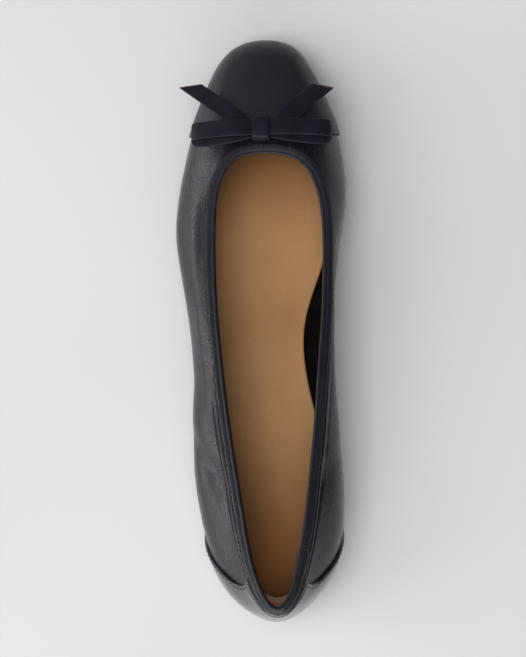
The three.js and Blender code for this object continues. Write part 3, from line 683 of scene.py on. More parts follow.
def build_binding():
    """A soft strip folded over the collar, with its joint at the back of the medial side."""
    far = GAP + BINDING_THICKNESS
    turn = np.linspace(0, math.pi, 15)
    shoulder = BAND_FACE - BAND_LEAN
    centre = (shoulder - WALL - far) / 2
    radius = shoulder - centre
    leg = np.linspace(BAND_DEPTH, 0.0, 12)
    face = BAND_FACE - BAND_LEAN * (1 - leg / BAND_DEPTH) ** 2.2
    offset = np.concatenate([
        [0.05, BAND_FACE - 0.3], face, centre + radius * np.cos(turn), np.full(6, -WALL - far),
        [-WALL - far + 0.2, -WALL - 0.1], np.full(3, -WALL - 0.1), [-1.4, -1.1, -0.9, 0.02],
    ])
    below = np.concatenate([
        [BAND_DEPTH + 0.12, BAND_DEPTH + 0.16], leg, np.zeros(15), np.linspace(0.6, BINDING_DEPTH, 6),
        [BINDING_DEPTH + 0.15, BINDING_DEPTH], np.linspace(BINDING_DEPTH - 1, 0, 3),
        np.linspace(0, BAND_DEPTH - 0.4, 4),
    ])
    beyond = np.concatenate([np.zeros(14), radius * np.sin(turn), np.zeros(15)])
    edge_shown = np.concatenate([[0.2, 0.6], np.linspace(1, 0.15, 12), np.linspace(0.15, 0, 15), np.zeros(15)])
    all_shown = np.concatenate([[0.3, 0.8], np.ones(27), np.linspace(1, 0, 6), np.zeros(9)])
    u = np.linspace(0, 1, 2200, endpoint=False)[:, None]
    s = 1 - below[None, :] / top_speed(u)
    past_joint = (u - BINDING_JOINT) * COLLAR_LENGTH
    joint = 0.28 * smooth(0.35, -0.1, past_joint) * smooth(-16, -1, past_joint) - 0.35 * bump(past_joint, 0.3, 0.4)
    lift = gathers(u) * gather_strength(u) * 0.16 * edge_shown[None, :]
    lift = lift + (joint + 0.04 * ripple(u, 37, 0.3)) * all_shown[None, :]
    loops = offset_point(u + 0 * s, s, offset[None, :] + lift * np.sign(offset - centre)[None, :], beyond[None, :])
    across = np.concatenate([[0], np.cumsum(np.hypot(np.diff(offset), np.diff(below) + np.diff(beyond)))])
    uv = np.stack([u * COLLAR_LENGTH + 0 * s, across[None, :] + 0 * s], -1) * MM
    return band_round("collar_binding", loops, ("binding",), uv, COLLAR_LENGTH * MM)


def wall_share(u, height, inside):
    """Where the wall's inner side passes a height over the seat."""

    def over(s):
        point = offset_point(u, s, -inside)
        return point[..., 2] - seat_height(point[..., 1]) - height

    return bisect(over, np.zeros_like(u), np.full_like(u, WIDEST))


def inner_ring(u, height, inside):
    """The ring at which the wall's inner side passes a height over the seat."""
    return offset_point(u, wall_share(u, height, inside), -inside)


def build_heel_grip():
    """Beige leather lining inside the back of the heel, turned in under the sock."""
    v = np.linspace(-1, 1, 90)[:, None]
    r = np.linspace(0, 1, 40)[None, :]
    u = 0.5 + 0.085 * v + 0 * r
    top = 1 - (BINDING_DEPTH - 0.6) / top_speed(u)
    foot = wall_share(u[:, :1], INSOLE_THICKNESS - SOCK_THICKNESS + 0.5, WALL + 0.5)
    s = foot + (top - foot) * r
    edge = np.minimum(1, np.minimum(1 - np.abs(v), 0.1) / 0.03)
    face = offset_point(u, s, -WALL - 0.08 - 0.42 * np.sqrt(np.clip(edge, 0, 1)))
    back = offset_point(u, s, -WALL - 0.06)
    inward = -outward_of(lower_edge, u[:, :1])
    reach = np.linspace(6.0, 0.6, 9)[None, :, None]
    flap = face[:, :1] + inward * reach
    drop = np.array([0.42] * 6 + [0.38, 0.26, 0.1])
    flap[..., 2] = face[:, :1, 2] - drop
    below = flap.copy()
    below[..., 2] -= 0.2
    face = np.concatenate([flap, face], axis=1)
    back = np.concatenate([below, back], axis=1)
    # The row index in the second coordinate places the painted shadow on the turned-in rows.
    uv = np.stack(np.broadcast_arrays(u[:, :1] * COLLAR_LENGTH, np.arange(face.shape[1])), -1) * MM
    return shell("heel_grip", back, face, uv=uv)


def dished(points, thickness):
    """Height of the foot bed: hollowed a little between its sides and under the heel and ball."""
    x, y = points[..., 0], points[..., 1]
    half = len(points) and BALL_WIDTH / 2
    hollow = 0.7 * (1 - np.clip(np.abs(x - 0.02 * y) / half, 0, 1) ** 2)
    ball = 0.5 * bump(y, 0.17 * LENGTH, 32) * bump(x, 2, 22)
    heel = 0.6 * bump(y, -0.36 * LENGTH, 30) * bump(x, 0, 16)
    fade = smooth(0.0, 4.0, edge_distance(x, y))
    return seat_height(y) + thickness - (hollow + ball + heel) * fade * 0.8


EDGE_RING = inner_ring(np.linspace(0, 1, 360, endpoint=False), INSOLE_THICKNESS, WALL + GAP)


def edge_distance(x, y):
    """Rough distance in plan to the foot bed's outline."""
    flat = np.stack([np.ravel(x), np.ravel(y)], -1)
    best = np.full(len(flat), 1e9)
    for point in EDGE_RING[::3, :2]:
        best = np.minimum(best, np.hypot(flat[:, 0] - point[0], flat[:, 1] - point[1]))
    return best.reshape(np.shape(x))


def build_insole():
    """Board below, and the leather sock on it, which ends short of the heel's lining."""
    u = np.linspace(0, 1, 480, endpoint=False)
    inside = WALL + GAP - 0.1
    low = inner_ring(u, 1.1, inside)
    foot = low.copy()
    foot[:, 2] = seat_height(foot[:, 1])
    board = inner_ring(u, INSOLE_THICKNESS - SOCK_THICKNESS, inside)
    plate("insole_board", np.stack([foot, low, board]), lambda p: seat_height(p[..., 1]),
          lambda p: dished(p, INSOLE_THICKNESS - SOCK_THICKNESS) - 0.02, 24)
    rim = inner_ring(u, INSOLE_THICKNESS, inside)
    out = outward_of(lambda v: lower_edge(v), u)
    back = smooth(-0.37 * LENGTH, -0.48 * LENGTH, rim[:, 1]) * 3.2
    levels = ((0.0, 0.05), (0.12, 0.45), (0.35, 0.82), (0.7, 0.97), (1.1, 1.0))
    rings = []
    for inset, share in levels:
        ring = rim - out * (inset + 0.25)
        ring[:, 1] += back
        ring[:, 2] = seat_height(ring[:, 1]) + INSOLE_THICKNESS - SOCK_THICKNESS * (1 - share)
        rings.append(ring)
    plate("sock", np.stack(rings), lambda p: dished(p, INSOLE_THICKNESS - SOCK_THICKNESS),
          lambda p: dished(p, INSOLE_THICKNESS), 60, ("insole",))


def build_outsole():
    u = np.linspace(0, 1, 600, endpoint=False)
    out = outward_of(lower_edge, u)
    levels = (
        (-SOLE_BEVEL, 0.0), (-0.35, 0.1), (-0.1, 0.35), (0.0, SOLE_BEVEL), (0.0, 1.35), (-0.12, 1.5),
        (0.0, 1.65), (0.0, SOLE_THICKNESS - 0.35), (-0.12, SOLE_THICKNESS - 0.08), (-0.4, SOLE_THICKNESS),
    )
    rings = []
    for margin, height in levels:
        ring = lower_edge(u) + out * (SOLE_MARGIN + margin)
        ring[:, 2] = sole_underside(ring[:, 1]) + height
        rings.append(ring)
    plate("outsole_rubber", np.stack(rings), lambda p: sole_underside(p[..., 1]),
          lambda p: sole_underside(p[..., 1]) + SOLE_THICKNESS, 16, ("outsole",))


def heel_outline(inset):
    """Plan of the heel block, from the breast's lateral corner round the back."""
    front = -LENGTH / 2 + HEEL_LENGTH
    u = np.linspace(0.25, 0.75, 1400)
    edge = lower_edge(u) + outward_of(lower_edge, u) * (SOLE_MARGIN - inset)
    share = edge[:, 0] / (BALL_WIDTH / 2)
    breast = front - BREAST_HOLLOW * (1 - share**2) - (inset if inset > HEEL_SETBACK else 0)
    kept = edge[edge[:, 1] < breast][::6, :2]
    x = np.linspace(kept[-1, 0], kept[0, 0], 40)[1:-1]
    limit = front - BREAST_HOLLOW * (1 - (x / (BALL_WIDTH / 2)) ** 2) - (inset if inset > HEEL_SETBACK else 0)
    return kept, np.stack([x, limit], -1)


def stack(name, levels, replaces):
    """A closed stack of level outlines, each an inset and a height."""
    base, breast = heel_outline(levels[0][0])
    count = len(base) + len(breast)
    rings = []
    for inset, height in levels:
        kept, front = heel_outline(inset)
        even = np.linspace(0, len(kept) - 1, len(base))
        order = np.arange(len(kept))
        back = np.stack([np.interp(even, order, kept[:, k]) for k in (0, 1)], -1)
        ring = np.concatenate([back, front])
        rings.append(np.column_stack([ring, np.full(len(ring), height)]))
    faces = grid_faces(len(rings), count, False, True)
    faces.append(list(range(count)))
    faces.append(list(range(count * (len(rings) - 1), count * len(rings)))[::-1])
    return make_piece(name, np.concatenate(rings), faces, replaces)


def build_heel():
    low, high = LIFT_THICKNESS + GAP, HEEL_HEIGHT - GAP
    levels = [(HEEL_SETBACK + HEEL_TAPER + 0.3, low), (HEEL_SETBACK + HEEL_TAPER, low + 0.3)]
    for seam in (0.36, 0.68):
        z = low + seam * (high - low)
        wide = HEEL_SETBACK + HEEL_TAPER * (1 - seam)
        levels += [(wide, z - 0.18), (wide + 0.14, z), (wide, z + 0.18)]
    levels += [(HEEL_SETBACK, high - 0.3), (HEEL_SETBACK + 0.3, high)]
    stack("heel_block", levels, ("heel",))
    edge = HEEL_SETBACK + HEEL_TAPER
    stack("heel_top_piece", [(edge + 0.4, 0.0), (edge, 0.4), (edge, LIFT_THICKNESS - 0.3),
                             (edge + 0.3, LIFT_THICKNESS)], ("heel_lift",))


# Ribbon bow


def bow_frame():
    """Turn and seat of the bow on the vamp's slope."""
    target = place(np.float64(BOW_ALONG), np.float64(BOW_ACROSS), np.float64(0))

    def share_at(u):
        return bisect(lambda s: target[1] - face_point(u, s)[..., 1], np.full_like(u, WIDEST), np.ones_like(u))

    def past(u):
        return target[0] - face_point(u, share_at(u))[..., 0]

    u = bisect(past, [0.0], [0.2])
    point, normal, _, _ = face_frame(u, share_at(u))
    point, normal = point[0], normal[0]
    tilt = -math.atan2(normal[1], normal[2])
    seat = point + normal * (2 * GAP + max(OVERLAY_THICKNESS, BINDING_THICKNESS))
    turn = np.array([[1, 0, 0], [0, math.cos(tilt), -math.sin(tilt)], [0, math.sin(tilt), math.cos(tilt)]])
    return turn, seat


BOW_TURN, BOW_SEAT = bow_frame()


def ribbon(name, centre, across, replaces, crown=0.1, thickness=RIBBON_THICKNESS):
    """A flat strip with rounded edges along a path, with closed ends."""
    flat = np.linspace(-1, 1, 11)
    half = thickness / 2
    lip = half / RIBBON_WIDTH * 2
    side = np.concatenate([flat * (1 - lip), [1 - lip * 0.3, 1, 1 - lip * 0.3]])
    rise = np.concatenate([np.ones(11), [0.7, 0, -0.7]])
    side = np.concatenate([side, -side])
    rise = np.concatenate([rise, -rise])
    tangent = np.gradient(centre, axis=0)
    normal = np.cross(tangent, across)
    normal /= np.linalg.norm(normal, axis=1, keepdims=True)
    bulge = crown * (1 - side**2)
    height = rise * half + bulge
    loops = centre[:, None] + across[:, None] * side[None, :, None] + normal[:, None] * height[None, :, None]
    loops = loops @ BOW_TURN.T + BOW_SEAT
    rows, columns = loops.shape[:2]
    faces = grid_faces(rows, columns, False, True)
    faces += [list(range(columns)), list(range((rows - 1) * columns, rows * columns))[::-1]]
    length = np.concatenate([[0], np.cumsum(np.linalg.norm(np.diff(centre, axis=0), axis=1))])
    uv = np.stack(np.broadcast_arrays(length[:, None] - length[-1], side[None, :] * RIBBON_WIDTH / 2), -1)
    return make_piece(name, loops.reshape(-1, 3), faces, replaces, uv.reshape(-1, 2) * MM)


def build_loop(name, side):
    start = KNOT_WIDTH / 2 - 0.6
    low = RIBBON_THICKNESS + GAP + LOOP_LIFT + RIBBON_THICKNESS / 2
    high = KNOT_HEIGHT - RIBBON_THICKNESS / 2
    fold = [
        (side * (start + out * (LOOP_REACH - start)), 0, low + up * (high - low) - LOOP_DROOP * out**2)
        for out, up in LOOP_FOLD
    ]
    centre = catmull(fold, 220)
    turned = np.linspace(0, 1, 220)
    under = np.clip((turned - 0.5) / 0.5, 0, 1)
    centre[:, 1] -= LOOP_SPREAD * np.sin(math.pi * under) ** 0.8
    across = np.zeros_like(centre)
    across[:, 1] = RIBBON_WIDTH / 2 * (1 - 0.1 * np.exp(-(np.minimum(turned, 1 - turned) / 0.05)))
    across[:, 2] = 0.35 * np.sin(math.pi * turned)
    return ribbon(f"bow_loop_ribbon_{name}", centre, across, (f"bow_loop_{name}",))


def build_tail(name, out, ahead, slant, droop, wide):
    steps = 90
    start = np.array([math.copysign(KNOT_WIDTH / 2 + GAP - 0.2, out), 0, 0])
    end = np.array([out, ahead, 0.0])
    direction = (end - start) / np.linalg.norm(end - start)
    across = np.array([-direction[1], direction[0], 0]) * RIBBON_WIDTH / 2
    share = np.linspace(0, 1, steps)
    breadth = 0.86 + (wide - 0.86) * smooth(0.0, 0.45, share)
    centre = start + (end - start) * share[:, None]
    centre[:, 2] = RIBBON_THICKNESS / 2 - droop * share**2 + 0.5 * np.sin(math.pi * share) ** 2
    at_knot = -across[0] / direction[0] * (1 - share) ** 4
    at_end = -math.copysign(slant, out) * share**4
    sides = (across + direction * (at_knot + at_end)[:, None]) * breadth[:, None]
    return ribbon(f"bow_tail_ribbon_{name}", centre, sides, (f"bow_tail_{name}",), crown=0.05)


def build_knot():
    """A band wrapped round the loops: flat on top, turned down at its front and back."""
    half_length, height = KNOT_LENGTH / 2, KNOT_HEIGHT + 0.35
    turn = np.linspace(0, 2 * math.pi, 120, endpoint=False)
    power = 0.42
    y = np.sign(np.sin(turn)) * np.abs(np.sin(turn)) ** power * half_length
    z = (1 + np.sign(np.cos(turn)) * np.abs(np.cos(turn)) ** power) * height / 2
    side = np.array([-1, -0.985, -0.93, -0.6, -0.2, 0.2, 0.6, 0.93, 0.985, 1])
    inset = np.array([0.45, 0.12, 0.0, -0.05, -0.1, -0.1, -0.05, 0.0, 0.12, 0.45])
    centre = np.array([0, 0, height / 2])
    ring = np.stack([np.zeros_like(y), y, z], -1)
    rows = []
    for across, sink in zip(side, inset):
        folds = 0.05 * np.sin(9 * across + 2 * turn)[:, None]
        scale = 1 - (sink + folds) / half_length
        row = centre + (ring - centre) * scale
        row[:, 0] = across * KNOT_WIDTH / 2 * (1 - 0.04 * np.cos(turn) ** 2)
        rows.append(row)
    loops = np.stack(rows) @ BOW_TURN.T + BOW_SEAT
    faces = grid_faces(len(rows), len(turn), False, True)
    count = len(turn)
    faces += [list(range(count)), list(range((len(rows) - 1) * count, len(rows) * count))[::-1]]
    uv = np.stack(np.broadcast_arrays(turn[None, :] * 4 - 40, side[:, None] * KNOT_WIDTH / 2), -1)
    return make_piece("bow_knot_ribbon", loops.reshape(-1, 3), faces, ("bow_knot",),
                      uv.reshape(-1, 2) * MM)


# Stitches


def stitch_row(name, path, normals, pitch=2.3, length=1.75, thick=0.17):
    """Small stitches laid end to end along a path, joined in one mesh."""
    steps = np.linalg.norm(np.diff(path, axis=0), axis=1)
    reach = np.concatenate([[0], np.cumsum(steps)])
    count = int(reach[-1] / pitch)
    rings, sides = 7, 6
    lon = np.linspace(-1, 1, rings)
    points, faces = [], []
    for n in range(count):
        at = (n + 0.5) * pitch
        line = np.stack([np.interp(at + lon * length / 2, reach, path[:, k]) for k in range(3)], -1)
        up = np.stack([np.interp(at, reach, normals[:, k]) for k in range(3)], -1)
        along = line[-1] - line[0]
        along /= np.linalg.norm(along)
        sideways = np.cross(along, up)
        sideways /= np.linalg.norm(sideways)
        start = len(points)
        for k in range(rings):
            radius = thick * math.sqrt(max(0.05, 1 - lon[k] ** 4))
            arch = up * (thick * 0.5 * (1 - lon[k] ** 2) - thick * 0.45 * lon[k] ** 4)
            for m in range(sides):
                angle = 2 * math.pi * m / sides
                points.append(line[k] + arch + (sideways * math.cos(angle) + up * math.sin(angle)) * radius)
        faces += grid_faces(rings, sides, False, True, start)
        faces.append([start + m for m in range(sides)])
        faces.append([start + (rings - 1) * sides + m for m in range(sides)][::-1])
    return make_piece(name, np.array(points), faces)


def build_stitches():
    inset = 1.7
    seam_u, seam_s, lateral, medial = cap_shares(500)
    base_u = np.linspace(lateral, medial, 500)
    base, seam = face_point(base_u, np.full(500, OVERLAY_FOOT)), face_point(seam_u, seam_s)
    share = np.clip(inset / np.linalg.norm(base - seam, axis=1), 0, 1)
    u = seam_u + (base_u - seam_u) * share
    s = seam_s + (OVERLAY_FOOT - seam_s) * share
    point, normal, _, _ = face_frame(u, s)
    keep = slice(20, -20)
    stitch_row("cap_stitches", (point + normal * (GAP + OVERLAY_THICKNESS - 0.12))[keep], normal[keep])
    r = np.linspace(0.04, 0.985, 300)
    for side, edge in zip(("lateral", "medial"), counter_rows(r)):
        toward = 1 if side == "lateral" else -1
        top = 1 - (BAND_DEPTH + GAP) / top_speed(edge)
        s = OVERLAY_FOOT + r * (top - OVERLAY_FOOT)
        unit = np.linalg.norm(face_point(edge + 1e-3, s) - face_point(edge, s), axis=1) / 1e-3
        point, normal, _, _ = face_frame(edge + toward * inset / unit, s)
        stitch_row(f"counter_stitches_{side}", point + normal * (GAP + OVERLAY_THICKNESS - 0.1), normal)
    u = np.linspace(0, 1, 3000)
    s = 1 - (BAND_DEPTH - 0.35) / top_speed(u)
    point, normal, _, _ = face_frame(u, s)
    stitch_row("binding_stitches", point + normal * (BAND_FACE + 0.0), normal, 1.9, 1.4, 0.1)


# Materials


def linear(red, green, blue):
    """Linear colour from screen values of 0 to 255."""
    def channel(value):
        value /= 255
        return value / 12.92 if value <= 0.04045 else ((value + 0.055) / 1.055) ** 2.4
    return (channel(red), channel(green), channel(blue), 1.0)


class Finish:
    """A node material that is put together step by step; pattern sizes are in millimetres."""

    def __init__(self, name, roughness, coat=0.0, coat_roughness=0.3, specular=0.5, sheen=0.0):
        self.material = bpy.data.materials.new(name)
        self.material.use_nodes = True
        self.nodes = self.material.node_tree.nodes
        self.links = self.material.node_tree.links
        self.shader = self.nodes["Principled BSDF"]
        self.shader.inputs["Roughness"].default_value = roughness
        self.shader.inputs["Coat Weight"].default_value = coat
        self.shader.inputs["Coat Roughness"].default_value = coat_roughness
        self.shader.inputs["Specular IOR Level"].default_value = specular
        self.shader.inputs["Sheen Weight"].default_value = sheen
        where = self.nodes.new("ShaderNodeTexCoord")
        self.object = where.outputs["Object"]
        self.uv = where.outputs["UV"]
        self.normal = None

    def scaled(self, source, scale):
        node = self.nodes.new("ShaderNodeMapping")
        node.inputs["Scale"].default_value = scale
        self.links.new(source, node.inputs["Vector"])
        return node.outputs["Vector"]

    def noise(self, size, detail=3.0, rough=0.5, source=None, stretch=(1, 1, 1)):
        node = self.nodes.new("ShaderNodeTexNoise")
        node.inputs["Scale"].default_value = 1 / (size * MM)
        node.inputs["Detail"].default_value = detail
        node.inputs["Roughness"].default_value = rough
        self.links.new(self.scaled(source or self.object, stretch), node.inputs["Vector"])
        return node.outputs["Fac"]

    def cells(self, size, feature="F1", stretch=(1, 1, 1), source=None, random=1.0):
        node = self.nodes.new("ShaderNodeTexVoronoi")
        node.feature = feature
        node.inputs["Scale"].default_value = 1 / (size * MM)
        node.inputs["Randomness"].default_value = random
        self.links.new(self.scaled(source or self.object, stretch), node.inputs["Vector"])
        return node.outputs["Distance"]

    def span(self, value, low, high, to_low, to_high):
        """Maps a value from one range to another, softly."""
        node = self.nodes.new("ShaderNodeMapRange")
        node.interpolation_type = "SMOOTHSTEP"
        for socket, number in zip(("From Min", "From Max", "To Min", "To Max"), (low, high, to_low, to_high)):
            node.inputs[socket].default_value = number
        self.links.new(value, node.inputs["Value"])
        return node.outputs["Result"]

    def maths(self, operation, first, second):
        node = self.nodes.new("ShaderNodeMath")
        node.operation = operation
        for socket, value in zip(node.inputs, (first, second)):
            if isinstance(value, (int, float)):
                socket.default_value = value
            else:
                self.links.new(value, socket)
        return node.outputs["Value"]

    def part(self, vector, axis):
        node = self.nodes.new("ShaderNodeSeparateXYZ")
        self.links.new(vector, node.inputs["Vector"])
        return node.outputs[axis]

    def blend(self, share, first, second):
        """A colour between two, each a colour or a socket."""
        node = self.nodes.new("ShaderNodeMix")
        node.data_type = "RGBA"
        self.links.new(share, node.inputs["Factor"])
        for socket, colour in zip((node.inputs[6], node.inputs[7]), (first, second)):
            if isinstance(colour, tuple):
                socket.default_value = colour
            else:
                self.links.new(colour, socket)
        return node.outputs[2]

    def colour(self, value):
        self.links.new(value, self.shader.inputs["Base Color"])

    def roughness(self, value):
        self.links.new(value, self.shader.inputs["Roughness"])

    def raise_by(self, height, distance, strength=1.0):
        """Adds relief of a height in millimetres."""
        node = self.nodes.new("ShaderNodeBump")
        node.inputs["Strength"].default_value = strength
        node.inputs["Distance"].default_value = distance * MM
        self.links.new(height, node.inputs["Height"])
        if self.normal:
            self.links.new(self.normal, node.inputs["Normal"])
        self.normal = node.outputs["Normal"]
        self.links.new(self.normal, self.shader.inputs["Normal"])


def leather(name, dark, light, roughness, grain, grain_depth, coat, specular=0.42, gathers_shown=0.0):
    """Fine grained leather: pebbles, pores, soft creases, and tone that drifts over the hide."""
    finish = Finish(name, roughness, coat, 0.3, specular)
    drift = finish.noise(38, 3)
    fine = finish.noise(2.2, 4)
    tone = finish.maths("ADD", finish.maths("MULTIPLY", drift, 0.7), finish.maths("MULTIPLY", fine, 0.3))
    finish.colour(finish.blend(finish.span(tone, 0.35, 0.68, 0, 1), dark, light))
    finish.roughness(finish.span(finish.noise(6, 4), 0.3, 0.7, roughness - 0.06, roughness + 0.07))
    finish.raise_by(finish.noise(5, 2), 0.06, 0.22)
    finish.raise_by(finish.cells(grain), grain_depth, 0.6)
    finish.raise_by(finish.noise(grain * 0.45, 3), grain_depth * 0.7, 0.5)
    if gathers_shown:
        depth = finish.part(finish.uv, "Y")
        near = finish.span(depth, 0.0045, 0.0095, 1, 0)
        beside = finish.span(finish.part(finish.object, "X"), -0.006, -0.012, 0, 1)
        ahead = finish.span(finish.part(finish.object, "Y"), 0.01, 0.035, 1, 0)
        shown = finish.maths("MULTIPLY", near, finish.maths("MULTIPLY", beside, ahead))
        fold = finish.noise(1.3, 2, 0.4, finish.object, (0.12, 1, 0.12))
        finish.raise_by(finish.maths("MULTIPLY", fold, shown), 0.6, gathers_shown)
    return finish.material


def ribbon_finish():
    """Firm ribbon: very fine ribs across, a matt face, and raw ends that show their core."""
    finish = Finish("bow_ribbon", 0.56, 0.0, 0.3, 0.35)
    tone = finish.noise(9, 4)
    face = finish.blend(finish.span(tone, 0.35, 0.65, 0, 1), linear(21, 23, 32), linear(27, 29, 40))
    along = finish.part(finish.uv, "X")
    raw = finish.span(along, -0.0007, -0.0003, 0, 1)
    finish.colour(finish.blend(raw, face, linear(104, 84, 64)))
    finish.roughness(finish.span(finish.noise(3, 3), 0.3, 0.7, 0.5, 0.62))
    wave = finish.nodes.new("ShaderNodeTexWave")
    wave.bands_direction = "X"
    wave.inputs["Scale"].default_value = 0.31 / (0.55 * MM)
    finish.links.new(finish.uv, wave.inputs["Vector"])
    finish.raise_by(wave.outputs["Fac"], 0.03, 0.5)
    finish.raise_by(finish.noise(0.5, 3), 0.03, 0.5)
    finish.raise_by(finish.noise(7, 2), 0.15, 0.4)
    return finish.material


def sock_finish(name, dark, light, deep, painted_shade_ends=None, painted_gap_shadow=None):
    """Tan leather: vegetable tanned, with fine drawn grain across, pores and drifting tone, and optionally painted
    shade toward its heel and toe ends and a painted shadow on turned-in rows.
    """
    finish = Finish(name, 0.55, 0.0, 0.3, 0.35)
    cloud = finish.noise(30, 4)
    streak = finish.noise(1.3, 3, 0.5, finish.object, (0.5, 1.4, 1))
    tone = finish.maths("ADD", finish.maths("MULTIPLY", cloud, 0.8), finish.maths("MULTIPLY", streak, 0.2))
    base = finish.blend(finish.span(tone, 0.36, 0.64, 0, 1), dark, light)
    # Painted shade: the tan is darkened toward the heel and toe ends, where the walls and vamp shade the inside of
    # the shoe.
    if painted_shade_ends:
        along = finish.part(finish.object, "Y")
        heel_end_shade = finish.span(along, -0.03, -0.1, 0, 0.9)
        toe_end_shade = finish.span(along, 0.035, 0.078, 0, 0.9)
        base = finish.blend(finish.maths("ADD", heel_end_shade, toe_end_shade), base, painted_shade_ends)
    # Painted shadow: the turned-in rows by the sock's edge are coloured dark brown, standing in for the shade in
    # the gap under the sock's rear edge.
    if painted_gap_shadow:
        row = finish.part(finish.uv, "Y")
        base = finish.blend(finish.span(row, 0.0048, 0.0062, 0.9, 0), base, painted_gap_shadow)
    pores = finish.span(finish.cells(0.9), 0.0, 0.22, 1, 0)
    finish.colour(finish.blend(finish.maths("MULTIPLY", pores, 0.35), base, deep))
    finish.roughness(finish.span(finish.noise(4, 3), 0.3, 0.7, 0.5, 0.64))
    finish.raise_by(streak, 0.09, 0.6)
    finish.raise_by(finish.cells(0.8), 0.06, 0.7)
    finish.raise_by(finish.noise(3.2, 3, 0.5, finish.object, (0.6, 1.6, 1)), 0.12, 0.5)
    finish.raise_by(finish.noise(12, 2), 0.25, 0.3)
    return finish.material


def lining_finish():
    """Black microfibre lining with a short nap."""
    finish = Finish("lining_black", 0.9, 0.0, 0.3, 0.12)
    tone = finish.noise(4, 4)
    finish.colour(finish.blend(finish.span(tone, 0.3, 0.7, 0, 1), linear(7, 8, 9), linear(13, 14, 15)))
    finish.raise_by(finish.noise(0.35, 3), 0.06, 0.7)
    finish.raise_by(finish.cells(0.6), 0.04, 0.4)
    return finish.material


def rubber_finish(name, dark, light, roughness):
    """Moulded sole rubber: fine stipple, faint scuffs and dust."""
    finish = Finish(name, roughness, 0.0, 0.3, 0.45)
    tone = finish.noise(14, 5)
    scuff = finish.noise(3, 4, 0.6, finish.object, (0.4, 2.2, 1))
    mixed = finish.maths("ADD", finish.maths("MULTIPLY", tone, 0.6), finish.maths("MULTIPLY", scuff, 0.4))
    finish.colour(finish.blend(finish.span(mixed, 0.4, 0.7, 0, 1), dark, light))
    finish.roughness(finish.span(scuff, 0.3, 0.7, roughness - 0.08, roughness + 0.1))
    finish.raise_by(finish.cells(0.7), 0.05, 0.5)
    finish.raise_by(finish.noise(2.2, 3), 0.08, 0.4)
    return finish.material


def thread_finish():
    finish = Finish("thread", 0.42, 0.15, 0.3, 0.5)
    tone = finish.noise(1.5, 2)
    finish.colour(finish.blend(finish.span(tone, 0.3, 0.7, 0, 1), linear(26, 27, 33), linear(44, 46, 54)))
    wave = finish.nodes.new("ShaderNodeTexWave")
    wave.bands_direction = "DIAGONAL"
    wave.inputs["Scale"].default_value = 0.31 / (0.3 * MM)
    finish.links.new(finish.object, wave.inputs["Vector"])
    finish.raise_by(wave.outputs["Fac"], 0.05, 0.6)
    return finish.material


def dress():
    """Builds every material and gives it to its pieces."""
    quarter = leather("leather_navy", linear(20, 21, 27), linear(28, 29, 37), 0.28, 0.75, 0.13, 0.2,
                      gathers_shown=0.5)
    cap = leather("leather_cap", linear(36, 37, 42), linear(40, 41, 47), 0.38, 0.4, 0.015, 0.08, 0.36)
    back = leather("leather_counter", linear(22, 21, 23), linear(29, 28, 30), 0.26, 0.5, 0.02, 1.0, 0.55)
    collar = leather("leather_binding", linear(22, 23, 29), linear(29, 30, 37), 0.4, 0.4, 0.03, 0.15)
    band = ribbon_finish()
    # The sock's darker ends are painted shade. The heel grip's dark turned-in rows are a painted shadow along the
    # sock's edge.
    sock = sock_finish("sock_tan", linear(177, 132, 89), linear(187, 141, 97), linear(147, 104, 67),
                       painted_shade_ends=linear(138, 94, 55))
    grip = sock_finish("grip_beige", linear(212, 174, 142), linear(224, 188, 156), linear(182, 146, 116),
                       painted_gap_shadow=linear(64, 42, 28))
    rubber = rubber_finish("sole_black", linear(20, 20, 21), linear(36, 36, 37), 0.62)
    block = rubber_finish("heel_black", linear(22, 21, 21), linear(34, 33, 33), 0.42)
    dressed = {
        "upper_leather": quarter, "toe_cap_leather": cap, "counter_leather": back,
        "collar_binding": collar, "lining": lining_finish(), "heel_grip": grip, "sock": sock,
        "insole_board": grip, "outsole_rubber": rubber, "heel_block": block, "heel_top_piece": rubber,
    }
    thread = thread_finish()
    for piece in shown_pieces():
        material = dressed.get(piece.name)
        if material is None and "stitches" in piece.name:
            material = thread
        if material is None and "ribbon" in piece.name:
            material = band
        if material is not None:
            piece.data.materials.clear()
            piece.data.materials.append(material)


# Studio

CAMERA_HEIGHT = 800.0
CAMERA_ACROSS = 40.3
CAMERA_ALONG = 0.5
PHOTO_UP = (0.0236, 0.9997, 0.0)
PIXELS_PER_MM_ON_FLOOR = 2.268
PHOTO_LONG_SIDE = 657
SENSOR = 36.0
AIM = (0.0, 0.0, 25.0)
ROOM_BRIGHT_SIDE = (-0.75, -0.6, -0.25)
ROOM_LEVELS = (0.03, 0.5)


def build_camera():
    """Straight over the middle of the pair in the photograph, aimed at the one shoe."""
    data = bpy.data.cameras.new("camera")
    data.sensor_width = SENSOR
    data.lens = PIXELS_PER_MM_ON_FLOOR * CAMERA_HEIGHT / PHOTO_LONG_SIDE * SENSOR
    data.clip_start = 0.01
    camera = bpy.data.objects.new("camera", data)
    where = Vector((CAMERA_ACROSS, CAMERA_ALONG, CAMERA_HEIGHT)) * MM
    back = (where - Vector(AIM) * MM).normalized()
    right = Vector(PHOTO_UP).cross(back).normalized()
    up = back.cross(right)
    turn = Matrix((right, up, back)).transposed().to_4x4()
    camera.matrix_world = Matrix.Translation(where) @ turn
    bpy.context.scene.collection.objects.link(camera)
    bpy.context.scene.camera = camera


def area_light(name, where, target, size, power, colour=(1, 1, 1)):
    data = bpy.data.lights.new(name, "AREA")
    data.shape = "RECTANGLE"
    data.size, data.size_y = size
    data.energy = power
    data.color = colour
    lamp = bpy.data.objects.new(name, data)
    lamp.location = where
    lamp.rotation_euler = (Vector(target) - Vector(where)).to_track_quat("-Z", "Y").to_euler()
    bpy.context.scene.collection.objects.link(lamp)
    return lamp


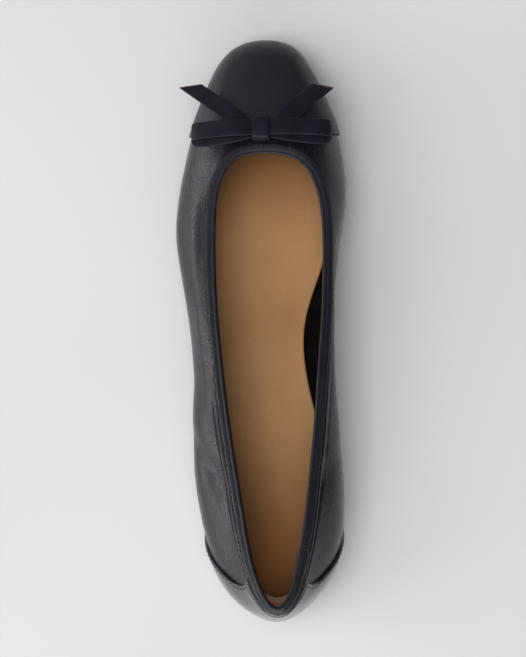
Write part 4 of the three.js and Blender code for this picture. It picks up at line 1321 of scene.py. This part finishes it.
def build_world():
    """A dim room that is a little brighter toward the lamps and darkest overhead."""
    world = bpy.data.worlds.new("studio")
    world.use_nodes = True
    nodes, links = world.node_tree.nodes, world.node_tree.links
    where = nodes.new("ShaderNodeTexCoord")
    toward = nodes.new("ShaderNodeVectorMath")
    toward.operation = "DOT_PRODUCT"
    toward.inputs[1].default_value = ROOM_BRIGHT_SIDE
    links.new(where.outputs["Generated"], toward.inputs[0])
    level = nodes.new("ShaderNodeMapRange")
    for socket, number in zip(("From Min", "From Max", "To Min", "To Max"), (-1, 1, *ROOM_LEVELS)):
        level.inputs[socket].default_value = number
    links.new(toward.outputs["Value"], level.inputs["Value"])
    background = nodes["Background"]
    background.inputs["Color"].default_value = (0.93, 0.96, 1.0, 1)
    links.new(level.outputs["Result"], background.inputs["Strength"])
    bpy.context.scene.world = world


def build_studio():
    mesh = bpy.data.meshes.new("floor")
    reach = 3.0
    corners = [(-reach, -reach, 0), (reach, -reach, 0), (reach, reach, 0), (-reach, reach, 0)]
    mesh.from_pydata(corners, [], [(0, 1, 2, 3)])
    floor = bpy.data.objects.new("floor", mesh)
    bpy.context.scene.collection.objects.link(floor)
    finish = Finish("floor_pale", 0.85, 0.0, 0.3, 0.2)
    tone = finish.noise(180, 2)
    finish.colour(finish.blend(finish.span(tone, 0.3, 0.7, 0, 1), linear(217, 217, 217), linear(221, 221, 221)))
    mesh.materials.append(finish.material)
    build_world()
    left = area_light("left", (-1.5, -0.1, 0.8), (0, 0, 0.02), (1.2, 2.0), 12, (1.0, 0.99, 0.97))
    left.visible_glossy = False
    area_light("window", (-1.5, 0.0, 0.19), (0, 0, 0.02), (2.2, 0.22), 7, (1.0, 0.99, 0.97))
    area_light("heel_side", (-0.2, -1.6, 0.7), (0, 0, 0.02), (2.0, 0.9), 16, (1.0, 0.98, 0.96))
    ceiling = area_light("ceiling", (-0.22, -0.05, 1.7), (0, 0, 0), (1.0, 1.2), 17)
    ceiling.visible_glossy = False
    bpy.context.scene.view_settings.view_transform = "Standard"


build_camera()
build_upper()
build_lining()
build_heel_grip()
build_toe_cap()
build_counter()
build_binding()
build_insole()
build_outsole()
build_heel()
for side_name, direction in (("lateral", -1), ("medial", 1)):
    build_loop(side_name, direction)
for tail_name, tail in TAILS.items():
    build_tail(tail_name, **tail)
build_knot()
build_stitches()
dress()
build_studio()
